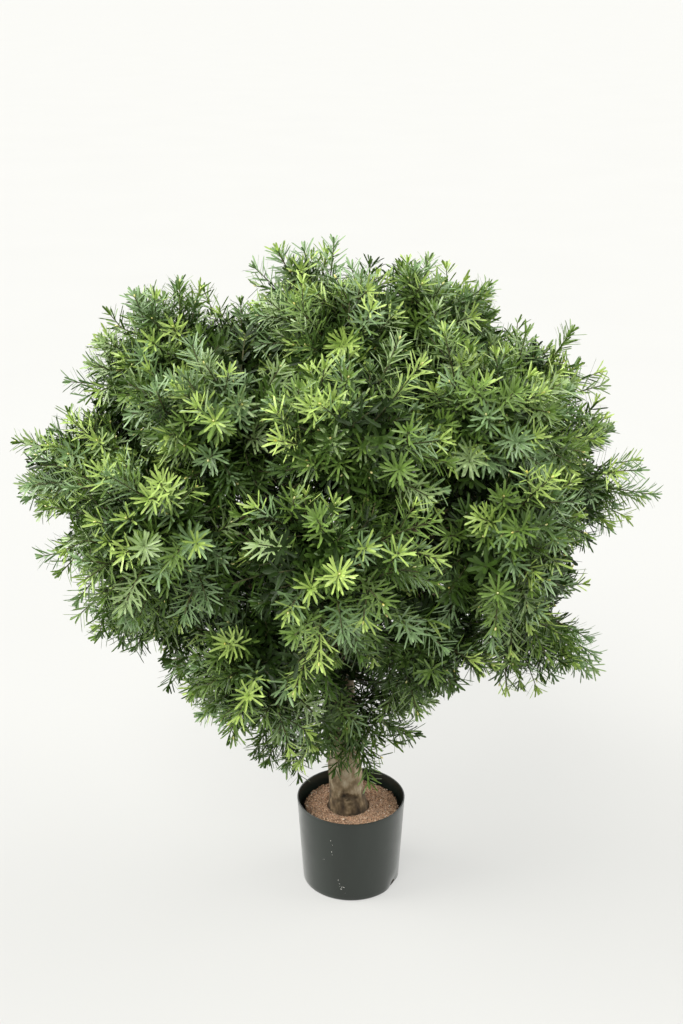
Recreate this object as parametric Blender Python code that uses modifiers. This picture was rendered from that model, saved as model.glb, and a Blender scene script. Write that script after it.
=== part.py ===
"""Lollipop topiary: an artificial needle-leaved tree on a short trunk, set in a plastic nursery pot.

The crown is five tiers of foliage masses. Every mass keeps to its own cell of the crown, is carried
by one bough (the lowest three by the trunk itself), and is grown from one stem by a seeded rule.
Units are metres, +Z is up, and the pot stands on z = 0 with its axis on the origin.
"""

import math
import random
from collections import namedtuple

import bmesh
import bpy
from mathutils import Matrix, Vector

# ---------------------------------------------------------------- sizes of pot and fill
GAP = 0.0003                    # clearance between neighbouring solids

POT_HEIGHT = 0.145
POT_TOP_RADIUS = 0.085
POT_BASE_RADIUS = 0.0765
POT_WALL = 0.0022
POT_FLOOR = 0.003
POT_EDGE = 0.003                # bevel round the foot
POT_STEPS = 40

SOIL_DROP = 0.016               # surface of the fill below the rim
SOIL_EDGE = 0.004               # the fill is bevelled where it meets the wall
RECESS_RADIUS = 0.034           # dimple round the foot of the trunk
RECESS_DEPTH = 0.006

# ---------------------------------------------------------------- sizes of trunk and boughs
TRUNK_TOP = 0.65
TRUNK_FOOT_X = -0.004
TRUNK_RADIUS = 0.027
TRUNK_TIP_RADIUS = 0.011
TRUNK_TAPER = 1.45              # above 1, the trunk keeps its girth low down
TRUNK_FLARE = 0.0045            # added to the radius at the foot
FLARE_HEIGHT = 0.012
TRUNK_LEAN = -0.016
TRUNK_SWAY = 0.006
TRUNK_STATIONS = 14

BOUGH_ROOT_RADIUS = 0.0062
BOUGH_TIP_RADIUS = 0.0042
BOUGH_STATIONS = 6
BOUGH_STAGGER = 0.024           # neighbours leave the trunk this far apart in height
BOUGH_RISE = 0.55               # slope at which a bough leaves the trunk
BOUGH_LAST = 0.012              # its last stretch is straight, on the axis of its mass
BOUGH_END = 0.62                # it ends this share of the reach short of the mass's centre

# ---------------------------------------------------------------- sizes of the foliage masses
STEM_RADIUS = 0.0040
STEM_TIP_RADIUS = 0.0030
STEM_SIDES = 6

BREADTH = 0.36                  # a mass reaches this share further across its axis than along it
CORE_SHARE = 0.52               # radius of the dense core, as a share of the reach
CORE_LUMPS = 0.12
TUFT_REACH = (0.80, 0.95)       # the core's pointed tufts end at this share of the reach
TUFT_SPREAD = math.radians(112)
TUFT_LEAST = 1.2                # a tuft that stands out less than this times the core isn't made

SHOOT_SHARE = 0.040             # a mass has one shoot for each such length of its reach
SHOOT_REACH = (0.96, 1.04)
SHOOT_SPREAD = math.radians(104)
SHOOT_RADIUS = 0.0040
SHOOT_TIP_RADIUS = 0.0026
SHOOT_LEAST = 0.040             # a shorter shoot isn't grown
SHOOT_TWIST = math.radians(38)  # turn of each ring of needles against the one before
LEADER_ROOM = math.radians(38)  # no other shoot grows this near a leader
RINGS = 3                       # rings of needles on a shoot
RANKS = 3                       # needles in a ring
NEEDLE_LENGTH = 0.060
NEEDLE_VARIES = (0.85, 1.12)
NEEDLE_SHORTENED = (1.0, 0.7, 0.45)
NEEDLE_LEAN_LOW = math.radians(62)
NEEDLE_LEAN_TIP = math.radians(38)
END_NEEDLE = 0.026
GOLDEN = math.radians(137.508)

CELL_MARGIN = 0.001             # each mass stays this far inside its cell
LIMB_MARGIN = 0.0012            # and this far from trunk, boughs and other stems
SEED = 17

# height of the centres, distance from the tier's own axis, where that axis is, reach of the
# masses, direction of the first one, height on the trunk that they fan out from, and height at
# which their boughs leave it
Tier = namedtuple("Tier", "name count height out axis_x reach first heart bough")
TIERS = (
    Tier("crest", 3, 0.875, 0.073, 0.011, 0.130, 15, 0.630, 0.622),
    Tier("shoulder", 8, 0.796, 0.246, -0.005, 0.132, 0, 0.630, 0.568),
    Tier("belt", 8, 0.669, 0.318, -0.030, 0.138, 0, 0.630, 0.500),
    Tier("lower", 6, 0.498, 0.247, -0.010, 0.118, 0, 0.540, 0.415),
    Tier("skirt", 3, 0.335, 0.063, -0.046, 0.120, 60, 0.470, None),
)
# masses that differ from their tier: higher by, further out by, longer reach by
NUDGES = {
    "crest_1": (-0.008, 0.000, -0.008),
    "shoulder_1": (-0.015, 0.000, -0.008),
    "shoulder_4": (-0.010, 0.000, -0.010),
    "shoulder_5": (0.010, 0.000, 0.014),
    "belt_5": (0.010, 0.000, 0.000),
    "lower_1": (-0.015, 0.015, 0.004),
    "lower_6": (0.015, -0.015, -0.018),
}
# the leaders, whose tips stand out furthest to the sides and the top: x and height
LEADER_TIPS = (
    (-0.024, 1.027), (-0.110, 1.020), (0.105, 0.990), (0.192, 0.950), (0.307, 0.895), (0.360, 0.840),
    (0.452, 0.649), (0.379, 0.382), (-0.238, 0.965), (-0.300, 0.955), (-0.491, 0.736), (-0.440, 0.570),
    (-0.396, 0.416),
)
# the valleys in the crown's outline, clockwise from the top: x and height where they cross y = 0,
# and half their width; they fan out from one point in front of the crown and run back through its edge
VALLEY_FOCUS = Vector((-0.015, -1.948, 1.358))
VALLEYS = (
    (0.151, 0.982, 0.017), (0.222, 0.920, 0.020), (0.268, 0.923, 0.018), (0.338, 0.849, 0.012),
    (0.391, 0.736, 0.015), (0.388, 0.563, 0.024), (0.379, 0.472, 0.018), (0.340, 0.472, 0.021),
    (0.213, 0.327, 0.019), (0.171, 0.306, 0.019), (0.135, 0.268, 0.019), (0.064, 0.207, 0.021),
    (-0.216, 0.231, 0.019), (-0.304, 0.375, 0.015), (-0.341, 0.378, 0.019), (-0.436, 0.502, 0.014),
    (-0.462, 0.591, 0.018), (-0.485, 0.700, 0.013), (-0.172, 0.961, 0.022),
)

# ---------------------------------------------------------------- colours
POT_COLOUR = (0.045, 0.052, 0.045)
SOIL_COLOUR = (0.300, 0.160, 0.100)
BARK_COLOUR = (0.210, 0.165, 0.120)
FOLIAGE_COLOURS = {
    "crest": (0.100, 0.190, 0.070),
    "shoulder": (0.085, 0.170, 0.060),
    "belt": (0.070, 0.150, 0.050),
    "lower": (0.055, 0.125, 0.045),
    "skirt": (0.045, 0.105, 0.040),
}


# ---------------------------------------------------------------- scene helpers
def clear_scene():
    for thing in list(bpy.data.objects):
        bpy.data.objects.remove(thing, do_unlink=True)


def new_collection(name):
    collection = bpy.data.collections.new(name)
    bpy.context.scene.collection.children.link(collection)
    return collection


def material(name, colour, roughness):
    made = bpy.data.materials.new(name)
    made.use_nodes = True
    shader = made.node_tree.nodes["Principled BSDF"]
    shader.inputs["Base Color"].default_value = (*colour, 1.0)
    shader.inputs["Roughness"].default_value = roughness
    shader.inputs["Metallic"].default_value = 0.0
    made.diffuse_color = (*colour, 1.0)
    return made


def add_object(name, mesh, collection, finish=None):
    piece = bpy.data.objects.new(name, mesh)
    collection.objects.link(piece)
    if finish:
        mesh.materials.clear()
        mesh.materials.append(finish)
    return piece


def shape_object(name, shape, collection):
    """Turn a bmesh into an object, and free it."""
    mesh = bpy.data.meshes.new(name)
    shape.to_mesh(mesh)
    shape.free()
    return add_object(name, mesh, collection)


def drop(piece):
    mesh = piece.data
    bpy.data.objects.remove(piece, do_unlink=True)
    bpy.data.meshes.remove(mesh)


def baked(source):
    """The mesh of an object with its curve or modifiers applied and its seams welded."""
    bpy.context.view_layer.update()
    graph = bpy.context.evaluated_depsgraph_get()
    mesh = bpy.data.meshes.new_from_object(source.evaluated_get(graph))
    shape = bmesh.new()
    shape.from_mesh(mesh)
    bmesh.ops.remove_doubles(shape, verts=shape.verts, dist=1e-6)
    bmesh.ops.recalc_face_normals(shape, faces=shape.faces)
    shape.to_mesh(mesh)
    shape.free()
    return mesh


def shade_round(mesh):
    mesh.shade_smooth()
    mesh.set_sharp_from_angle(angle=math.radians(50))


def turned(name, profile, collection, finish):
    """A closed profile of (radius, height) pairs, run down the outer side, turned about Z."""
    line = bpy.data.meshes.new(name + "_profile")
    points = [(radius, 0.0, height) for radius, height in profile]
    edges = [(i, i + 1) for i in range(len(points) - 1) if profile[i][0] or profile[i + 1][0]]
    line.from_pydata(points, edges, [])
    blank = add_object(name + "_blank", line, collection)
    screw = blank.modifiers.new("turn", "SCREW")
    screw.axis = "Z"
    screw.steps = POT_STEPS
    screw.render_steps = POT_STEPS
    screw.use_merge_vertices = True
    screw.merge_threshold = 0.00005
    mesh = baked(blank)
    drop(blank)
    shade_round(mesh)
    return add_object(name, mesh, collection, finish)


def tube(name, points, radii, resolution, collection, finish=None):
    """A tapering limb through the points, with flat ends."""
    curve = bpy.data.curves.new(name + "_line", "CURVE")
    curve.dimensions = "3D"
    curve.bevel_depth = 1.0
    curve.bevel_resolution = resolution
    curve.use_fill_caps = True
    curve.twist_mode = "MINIMUM"
    spline = curve.splines.new("POLY")
    spline.points.add(len(points) - 1)
    for knot, point, radius in zip(spline.points, points, radii):
        knot.co = (*point, 1.0)
        knot.radius = radius
    line = bpy.data.objects.new(name + "_line", curve)
    collection.objects.link(line)
    mesh = baked(line)
    bpy.data.objects.remove(line, do_unlink=True)
    bpy.data.curves.remove(curve)
    shade_round(mesh)
    return add_object(name, mesh, collection, finish)


def cut(target, cutter):
    """Take the cutter out of the target with a Boolean modifier, applied."""
    modifier = target.modifiers.new("cut", "BOOLEAN")
    modifier.operation = "DIFFERENCE"
    modifier.solver = "EXACT"
    modifier.object = cutter
    mesh = baked(target)
    target.modifiers.remove(modifier)
    whole = target.data
    target.data = mesh
    bpy.data.meshes.remove(whole)


def frame_along(direction, start):
    """The matrix that stands a shape built up +Z on the start point, along the direction."""
    side = perpendicular(direction)
    up = direction.cross(side)
    turn = Matrix((side, up, direction)).transposed().to_4x4()
    return Matrix.Translation(start) @ turn


def perpendicular(direction):
    guide = Vector((0.0, 0.0, 1.0)) if abs(direction.z) < 0.9 else Vector((1.0, 0.0, 0.0))
    return direction.cross(guide).normalized()


# ---------------------------------------------------------------- pot and fill
def wall_radius(height):
    """Outer radius of the pot at a height."""
    return POT_BASE_RADIUS + (POT_TOP_RADIUS - POT_BASE_RADIUS) * height / POT_HEIGHT


def build_pot(collection):
    lip = POT_WALL / 2
    profile = (
        (POT_TOP_RADIUS - lip, POT_HEIGHT),
        (POT_TOP_RADIUS, POT_HEIGHT - lip),
        (wall_radius(POT_EDGE), POT_EDGE),
        (POT_BASE_RADIUS - POT_EDGE, 0.0),
        (0.0, 0.0),
        (0.0, POT_FLOOR),
        (wall_radius(POT_FLOOR) - POT_WALL, POT_FLOOR),
        (POT_TOP_RADIUS - POT_WALL, POT_HEIGHT - lip),
        (POT_TOP_RADIUS - lip, POT_HEIGHT),
    )
    turned("pot", profile, collection, material("pot_plastic", POT_COLOUR, 0.45))


def build_soil(collection):
    """The fill, with a dimple that the trunk's foot stands in."""
    top = POT_HEIGHT - SOIL_DROP
    bottom = POT_FLOOR + GAP
    inset = POT_WALL + GAP
    shoulder = top - SOIL_EDGE
    profile = (
        (0.0, top),
        (wall_radius(shoulder) - inset - SOIL_EDGE, top),
        (wall_radius(shoulder) - inset, shoulder),
        (wall_radius(bottom) - inset, bottom),
        (0.0, bottom),
    )
    soil = turned("soil", profile, collection, material("soil_grit", SOIL_COLOUR, 0.95))
    shape = bmesh.new()
    bmesh.ops.create_cone(
        shape, cap_ends=True, segments=24,
        radius1=RECESS_RADIUS, radius2=RECESS_RADIUS, depth=2 * RECESS_DEPTH
    )
    bmesh.ops.translate(shape, verts=shape.verts, vec=(TRUNK_FOOT_X, 0.0, top))
    cutters = new_collection("soil_cutters")
    recess = shape_object("recess_cutter", shape, cutters)
    cut(soil, recess)
    drop(recess)
    bpy.data.collections.remove(cutters)


# ---------------------------------------------------------------- trunk and boughs
def trunk_foot():
    return POT_HEIGHT - SOIL_DROP - RECESS_DEPTH + GAP


def trunk_share(height):
    """How far up the trunk a height is, from 0 at the foot to 1 at the tip."""
    return min(max((height - trunk_foot()) / (TRUNK_TOP - trunk_foot()), 0.0), 1.0)


def trunk_centre(height):
    """The trunk leans to one side, bends back near its tip and sways a little in depth."""
    share = trunk_share(height)
    lean = TRUNK_LEAN * math.sin(0.9 * math.pi * share)
    sway = TRUNK_SWAY * math.sin(1.6 * math.pi * share)
    return Vector((TRUNK_FOOT_X + lean, sway, height))


def trunk_radius(height):
    thinning = (TRUNK_RADIUS - TRUNK_TIP_RADIUS) * trunk_share(height) ** TRUNK_TAPER
    flare = TRUNK_FLARE * math.exp(-max(height - trunk_foot(), 0.0) / FLARE_HEIGHT)
    return TRUNK_RADIUS - thinning + flare


def trunk_line():
    """Stations and radii, closer together in the root flare; the first stretch is upright."""
    span = TRUNK_TOP - trunk_foot()
    heights = [trunk_foot() + span * (i / TRUNK_STATIONS) ** 1.6 for i in range(TRUNK_STATIONS + 1)]
    points = [trunk_centre(height) for height in heights]
    points[0].xy = points[1].xy
    return points, [trunk_radius(height) for height in heights]


def build_trunk(name, extra, collection, finish=None):
    points, radii = trunk_line()
    return tube(name, points, [radius + extra for radius in radii], 4, collection, finish)


def bough_line(mass):
    """Stations and radii of one bough, from inside the trunk to its mass, bending on to the mass's axis."""
    start = trunk_centre(mass.bough_height)
    end = mass.entry
    span = 0.9 * (end - start).length
    outward = Vector((mass.axis.x, mass.axis.y, 0.0)).normalized()
    leave = (outward + Vector((0.0, 0.0, BOUGH_RISE))).normalized() * span
    arrive = mass.axis * span
    points = []
    for i in range(BOUGH_STATIONS):
        share = 0.93 * i / (BOUGH_STATIONS - 1)
        rest = 1.0 - share
        point = start * (1 + 2 * share) * rest ** 2 + end * (3 - 2 * share) * share ** 2
        point += leave * share * rest ** 2 - arrive * rest * share ** 2
        points.append(point)
    points.append(end - mass.axis * BOUGH_LAST)
    points.append(end)
    taper = (BOUGH_ROOT_RADIUS - BOUGH_TIP_RADIUS) / (len(points) - 1)
    return points, [BOUGH_ROOT_RADIUS - taper * i for i in range(len(points))]


def stem_line(mass):
    """Start and end of the stem that a mass grows from: from its bough's tip, or from the trunk."""
    if mass.bough_height is None:
        return trunk_centre(mass.entry.z), mass.centre
    return mass.entry + mass.axis * GAP, mass.centre


# ---------------------------------------------------------------- masses: places and cells
class Mass:
    """One foliage mass: centre, reach, axis away from the crown's heart, and where its bough enters."""

    def __init__(self, tier, number):
        self.name = f"{tier.name}_{number}"
        self.tier = tier.name
        rise, further, longer = NUDGES.get(self.name, (0.0, 0.0, 0.0))
        turn = math.radians(tier.first + 360.0 * (number - 1) / tier.count)
        out = tier.out + further
        self.centre = Vector((tier.axis_x + out * math.cos(turn), out * math.sin(turn), tier.height + rise))
        self.reach = tier.reach + longer
        self.axis = (self.centre - trunk_centre(tier.heart)).normalized()
        self.entry = self.centre - self.axis * self.reach * BOUGH_END
        self.bough_height = None
        if tier.bough:
            self.bough_height = tier.bough + BOUGH_STAGGER * (0.5 if number % 2 else -0.5)
        self.planes = []
        self.leaders = []


def all_masses():
    masses = [Mass(tier, number) for tier in TIERS for number in range(1, tier.count + 1)]
    for mass in masses:
        mass.planes = cell_planes(mass, masses)
    for x, height in LEADER_TIPS:
        tip = Vector((x, 0.0, height))
        owner = min(masses, key=lambda mass: (tip - mass.centre).length_squared - mass.reach ** 2)
        owner.leaders.append(tip)
    return masses


def cell_planes(mass, masses):
    """The planes (normal, offset) of a mass's cell: a point inside has normal . point < offset.

    Between two masses the plane lies where their spheres of reach are equally near. Two more planes
    keep a mass off the trunk and above the pot.
    """
    planes = []
    for other in masses:
        if other is mass:
            continue
        apart = other.centre - mass.centre
        distance = apart.length
        middle = (distance ** 2 + mass.reach ** 2 - other.reach ** 2) / (2 * distance)
        normal = apart / distance
        planes.append((normal, normal.dot(mass.centre) + middle - CELL_MARGIN))
    lowest = max(mass.centre.z - mass.reach, trunk_foot())
    if lowest < TRUNK_TOP:
        beside = trunk_centre(mass.centre.z)
        inward = Vector((beside.x - mass.centre.x, beside.y - mass.centre.y, 0.0)).normalized()
        planes.append((inward, inward.dot(beside) - trunk_radius(lowest) - 2 * LIMB_MARGIN))
    planes.append((Vector((0.0, 0.0, -1.0)), -(POT_HEIGHT + 2 * LIMB_MARGIN)))
    return planes


def room(mass, origin, direction):
    """How far one can go from the origin before leaving the cell."""
    far = 10.0
    for normal, offset in mass.planes:
        pace = normal.dot(direction)
        if pace > 1e-6:
            far = min(far, (offset - normal.dot(origin)) / pace)
    return far


def inside(mass, points):
    return all(normal.dot(point) < offset for point in points for normal, offset in mass.planes)


def reach_along(mass, direction):
    """Reach of a mass in one direction."""
    return mass.reach * (1.0 + BREADTH * math.sin(direction.angle(mass.axis)) ** 2)


def in_valley(point):
    """Whether a point lies in one of the valleys of the crown's outline."""
    away = point - VALLEY_FOCUS
    for x, height, half_width in VALLEYS:
        line = Vector((x, 0.0, height)) - VALLEY_FOCUS
        if away.cross(line).length < half_width * line.length:
            return True
    return False


def meets_valley(start, end):
    return any(in_valley(start.lerp(end, share)) for share in (0.4, 0.6, 0.8, 1.0))


def out_of_valleys(origin, direction, length):
    """The length, drawn back until nothing along it is in a valley."""
    while meets_valley(origin, origin + direction * length):
        length *= 0.95
    return length


def clearance(point, limb):
    """Distance from a point to the surface of a limb."""
    points, radii = limb
    nearest = 10.0
    for start, end, thick in zip(points, points[1:], radii):
        along = end - start
        share = min(max((point - start).dot(along) / along.length_squared, 0.0), 1.0)
        nearest = min(nearest, (point - start - along * share).length - thick)
    return nearest


def clear_of_limbs(start, end, thick, limbs):
    steps = 5
    for i in range(steps + 1):
        point = start.lerp(end, i / steps)
        if any(clearance(point, limb) < thick + LIMB_MARGIN for limb in limbs):
            return False
    return True


# ---------------------------------------------------------------- masses: growing
def grow_stem(mass, collection, cutter):
    start, end = stem_line(mass)
    length = (end - start).length
    shape = bmesh.new()
    bmesh.ops.create_cone(
        shape, cap_ends=True, segments=STEM_SIDES, radius1=STEM_RADIUS, radius2=STEM_TIP_RADIUS, depth=length
    )
    bmesh.ops.translate(shape, verts=shape.verts, vec=(0.0, 0.0, length / 2))
    bmesh.ops.transform(shape, matrix=frame_along((end - start).normalized(), start), verts=shape.verts)
    stem = shape_object("stem", shape, collection)
    if mass.bough_height is None:
        cut(stem, cutter)
    return stem


def grow_core(mass, limbs, chance, collection):
    """A lumpy ball whose outer faces are drawn out to pointed tufts, within the cell and off the limbs."""
    shape = bmesh.new()
    bmesh.ops.create_icosphere(shape, subdivisions=2, radius=1.0)
    for vertex in shape.verts:
        direction = vertex.co.normalized()
        radius = reach_along(mass, direction) * CORE_SHARE
        radius *= chance.uniform(1.0 - CORE_LUMPS, 1.0 + CORE_LUMPS)
        radius = min(radius, 0.97 * room(mass, mass.centre, direction))
        radius = out_of_valleys(mass.centre, direction, radius)
        while not clear_of_limbs(mass.centre, mass.centre + direction * radius, 0.002, limbs):
            radius *= 0.9
        vertex.co = mass.centre + direction * radius
    for face in list(shape.faces):
        grow_tuft(mass, shape, face, limbs, chance)
    shape_object("core", shape, collection)


def grow_tuft(mass, shape, face, limbs, chance):
    root = face.calc_center_median()
    direction = (root - mass.centre).normalized()
    length = reach_along(mass, direction) * chance.uniform(*TUFT_REACH)
    length = min(length, 0.97 * room(mass, mass.centre, direction))
    length = out_of_valleys(mass.centre, direction, length)
    tip = mass.centre + direction * length
    stands_out = length > TUFT_LEAST * (root - mass.centre).length
    if direction.angle(mass.axis) > TUFT_SPREAD or not stands_out:
        return
    if clear_of_limbs(root, tip, SHOOT_RADIUS, limbs):
        bmesh.ops.poke(shape, faces=[face])["verts"][0].co = tip


def shoot_aims(mass, chance):
    """Where each shoot leaves the stem and where its tip should be: a spiral over the outer side."""
    start, end = stem_line(mass)
    side = perpendicular(mass.axis)
    up = mass.axis.cross(side)
    start_turn = chance.uniform(0.0, 2 * math.pi)
    count = round(mass.reach / SHOOT_SHARE)
    aims = [(start.lerp(end, 0.9), tip) for tip in mass.leaders]
    for i in range(count):
        lean = math.acos(1.0 - (i + 0.5) / count * (1.0 - math.cos(SHOOT_SPREAD)))
        turn = start_turn + i * GOLDEN
        ring = side * math.cos(turn) + up * math.sin(turn)
        direction = mass.axis * math.cos(lean) + ring * math.sin(lean)
        if any(direction.angle(leader - mass.centre) < LEADER_ROOM for leader in mass.leaders):
            continue
        tip = mass.centre + direction * reach_along(mass, direction) * chance.uniform(*SHOOT_REACH)
        aims.append((start.lerp(end, 1.0 - 0.55 * lean / SHOOT_SPREAD), tip))
    return aims


def core_exit(mass, origin, direction):
    """How far a shoot runs inside the core."""
    radius = mass.reach * CORE_SHARE
    offset = origin - mass.centre
    along = -offset.dot(direction)
    return along + math.sqrt(max(radius ** 2 - offset.length_squared + along ** 2, 0.0))


def grow_shoot(mass, origin, tip, limbs, chance, collection):
    """A three-sided twig whose outer stretch is drawn out into rings of forward-leaning needles."""
    direction = (tip - origin).normalized()
    length = min((tip - origin).length, room(mass, origin, direction))
    length = out_of_valleys(origin, direction, length) - END_NEEDLE
    end = origin + direction * length
    if length < SHOOT_LEAST or not clear_of_limbs(origin, end, SHOOT_RADIUS, limbs):
        return
    bare = min(core_exit(mass, origin, direction), length * 0.5)
    steps = [bare] + [(length - bare) / RINGS] * RINGS
    shape = bmesh.new()
    rings, end_face = grow_twig(shape, steps, chance.uniform(0.0, 2 * math.pi))
    bmesh.ops.transform(shape, matrix=frame_along(direction, origin), verts=shape.verts)
    for number, sides in enumerate(rings):
        lean = NEEDLE_LEAN_LOW + (NEEDLE_LEAN_TIP - NEEDLE_LEAN_LOW) * number / RINGS
        for side in sides:
            grow_needle(mass, shape, side, origin, direction, lean, limbs, chance)
    bmesh.ops.poke(shape, faces=[end_face])["verts"][0].co += direction * END_NEEDLE
    bmesh.ops.recalc_face_normals(shape, faces=shape.faces)
    if inside(mass, [vertex.co for vertex in shape.verts]):
        shape_object("shoot", shape, collection)
    else:
        shape.free()


def grow_twig(shape, steps, start_turn):
    """A twisted twig up +Z. Returns the side faces of each ring that can bear needles, and the end face."""
    base = bmesh.ops.create_circle(shape, cap_ends=True, radius=SHOOT_RADIUS, segments=RANKS)["verts"]
    bmesh.ops.rotate(shape, verts=base, matrix=Matrix.Rotation(start_turn, 3, "Z"))
    edges = list(shape.edges)
    shrink = (SHOOT_TIP_RADIUS / SHOOT_RADIUS) ** (1.0 / len(steps))
    rings = []
    for step in steps:
        grown = bmesh.ops.extrude_edge_only(shape, edges=edges)["geom"]
        corners = [item for item in grown if isinstance(item, bmesh.types.BMVert)]
        rings.append([item for item in grown if isinstance(item, bmesh.types.BMFace)])
        edges = [item for item in grown if isinstance(item, bmesh.types.BMEdge)]
        edges = [edge for edge in edges if all(vertex in corners for vertex in edge.verts)]
        bmesh.ops.translate(shape, verts=corners, vec=(0.0, 0.0, step))
        bmesh.ops.scale(shape, verts=corners, vec=(shrink, shrink, 1.0))
        bmesh.ops.rotate(shape, verts=corners, matrix=Matrix.Rotation(SHOOT_TWIST, 3, "Z"))
    end_face = bmesh.ops.edgeloop_fill(shape, edges=edges)["faces"][0]
    return rings[1:], end_face


def grow_needle(mass, shape, side, origin, direction, lean, limbs, chance):
    """Draw one side of a twig out to a needle, shorter or not at all where there is no room for it."""
    root = side.calc_center_median()
    ring = root - origin
    ring = (ring - direction * ring.dot(direction)).normalized()
    way = direction * math.cos(lean) + ring * math.sin(lean)
    length = NEEDLE_LENGTH * chance.uniform(*NEEDLE_VARIES)
    for share in NEEDLE_SHORTENED:
        tip = root + way * length * share
        has_room = inside(mass, [tip]) and not meets_valley(root, tip)
        if has_room and clear_of_limbs(root, tip, SHOOT_RADIUS, limbs):
            bmesh.ops.poke(shape, faces=[side])["verts"][0].co = tip
            return


def shells(shape):
    """The connected shells of a bmesh, as lists of faces."""
    left = set(shape.faces)
    found = []
    while left:
        queue = [left.pop()]
        shell = list(queue)
        while queue:
            face = queue.pop()
            for edge in face.edges:
                for neighbour in edge.link_faces:
                    if neighbour in left:
                        left.remove(neighbour)
                        queue.append(neighbour)
                        shell.append(neighbour)
        found.append(shell)
    return found


def shell_volume(shell):
    volume = 0.0
    for face in shell:
        first = face.verts[0].co
        for second, third in zip(face.verts[1:], face.verts[2:]):
            volume += first.dot(second.co.cross(third.co)) / 6.0
    return volume


def keep_outer_shell(mesh):
    """Keep the outer shell of a fused mass: sealed hollows are filled and loose scraps dropped."""
    shape = bmesh.new()
    shape.from_mesh(mesh)
    found = shells(shape)
    outer = max(found, key=shell_volume)
    spare = [face for shell in found if shell is not outer for face in shell]
    bmesh.ops.delete(shape, geom=spare, context="FACES")
    bmesh.ops.triangulate(shape, faces=shape.faces)
    shape.to_mesh(mesh)
    shape.free()


def build_mass(mass, limbs, collection, cutter):
    """Stem, core and shoots of one mass, fused by one Boolean union on their collection."""
    chance = random.Random(f"{SEED}_{mass.name}")
    growth = new_collection("growth")
    stem = grow_stem(mass, collection, cutter)
    grow_core(mass, limbs, chance, growth)
    for origin, tip in shoot_aims(mass, chance):
        grow_shoot(mass, origin, tip, limbs, chance, growth)
    fuse = stem.modifiers.new("fuse", "BOOLEAN")
    fuse.operation = "UNION"
    fuse.operand_type = "COLLECTION"
    fuse.collection = growth
    fuse.solver = "MANIFOLD"
    mesh = baked(stem)
    drop(stem)
    for piece in list(growth.objects):
        drop(piece)
    bpy.data.collections.remove(growth)
    keep_outer_shell(mesh)
    finish = material("foliage_" + mass.name, FOLIAGE_COLOURS[mass.tier], 0.6)
    add_object("foliage_" + mass.name, mesh, collection, finish)


# ---------------------------------------------------------------- the whole plant
def build():
    clear_scene()
    plant = new_collection("lollipop_topiary")
    build_pot(plant)
    build_soil(plant)
    build_trunk("trunk", 0.0, plant, material("trunk_bark", BARK_COLOUR, 0.9))
    cutters = new_collection("trunk_cutters")
    cutter = build_trunk("trunk_cutter", 1.2 * GAP, cutters)
    cutter.hide_render = True
    cutter.display_type = "WIRE"

    masses = all_masses()
    limbs = [(None, trunk_line())]
    for mass in masses:
        if mass.bough_height is None:
            limbs.append((mass, (stem_line(mass), (STEM_RADIUS,))))
            continue
        points, radii = bough_line(mass)
        finish = material("bark_" + mass.name, BARK_COLOUR, 0.9)
        cut(tube("bough_" + mass.name, points, radii, 1, plant, finish), cutter)
        limbs.append((None, (points, radii)))
    for mass in masses:
        others = [limb for owner, limb in limbs if owner is not mass]
        build_mass(mass, others, plant, cutter)
    drop(cutter)
    bpy.data.collections.remove(cutters)


build()
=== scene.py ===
"""Looks of the lollipop topiary: needles, twigs and buds on the masses' cells, bark, pot and fill.

Every foliage mass is grown again by the rule of the part's source, in the same cell and to the same
reach, and carried on from its main shoots to side twigs with single needles, in sprays.
Units are metres, +Z is up, and the pot stands on z = 0 with its axis on the origin.
"""

import math
import random
from collections import namedtuple

import bpy
import numpy as np
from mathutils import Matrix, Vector, noise


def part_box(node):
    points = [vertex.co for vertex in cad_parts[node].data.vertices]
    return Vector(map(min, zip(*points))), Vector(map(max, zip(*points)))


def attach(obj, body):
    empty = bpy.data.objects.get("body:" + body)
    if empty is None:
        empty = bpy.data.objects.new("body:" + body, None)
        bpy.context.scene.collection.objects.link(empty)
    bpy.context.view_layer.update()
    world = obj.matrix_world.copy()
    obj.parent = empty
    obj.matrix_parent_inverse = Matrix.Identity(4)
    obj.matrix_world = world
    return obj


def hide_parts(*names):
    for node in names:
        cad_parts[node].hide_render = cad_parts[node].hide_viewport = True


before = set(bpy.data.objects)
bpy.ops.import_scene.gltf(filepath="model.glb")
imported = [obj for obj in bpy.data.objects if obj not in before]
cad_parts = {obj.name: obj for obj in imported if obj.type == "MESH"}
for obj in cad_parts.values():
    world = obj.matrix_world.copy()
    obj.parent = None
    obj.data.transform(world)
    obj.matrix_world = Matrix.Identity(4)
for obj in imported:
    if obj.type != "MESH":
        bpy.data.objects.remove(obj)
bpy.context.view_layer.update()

# ---------------------------------------------------------------- sizes read from the frame
POT_LOW, POT_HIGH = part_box("pot")
TRUNK_LOW, TRUNK_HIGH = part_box("trunk")
POT_HEIGHT = POT_HIGH.z
POT_TOP_RADIUS = (POT_HIGH.x - POT_LOW.x) / 2
TRUNK_FOOT = TRUNK_LOW.z
TRUNK_TOP = TRUNK_HIGH.z
FILL_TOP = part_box("soil")[1].z

# ---------------------------------------------------------------- sizes of pot and fill
GAP = 0.0003                    # clearance between neighbouring solids of the part

POT_BASE_RADIUS = 0.0765
POT_WALL = 0.0022
POT_FLOOR = 0.003
POT_EDGE = 0.003                # rounding of the foot
POT_SIDES = 144
POT_WAVER = 0.00035             # the thin wall isn't quite round
DENT = namedtuple("Dent", "turn height size depth")(math.radians(-27), 0.002, 0.0150, 0.0034)

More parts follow.
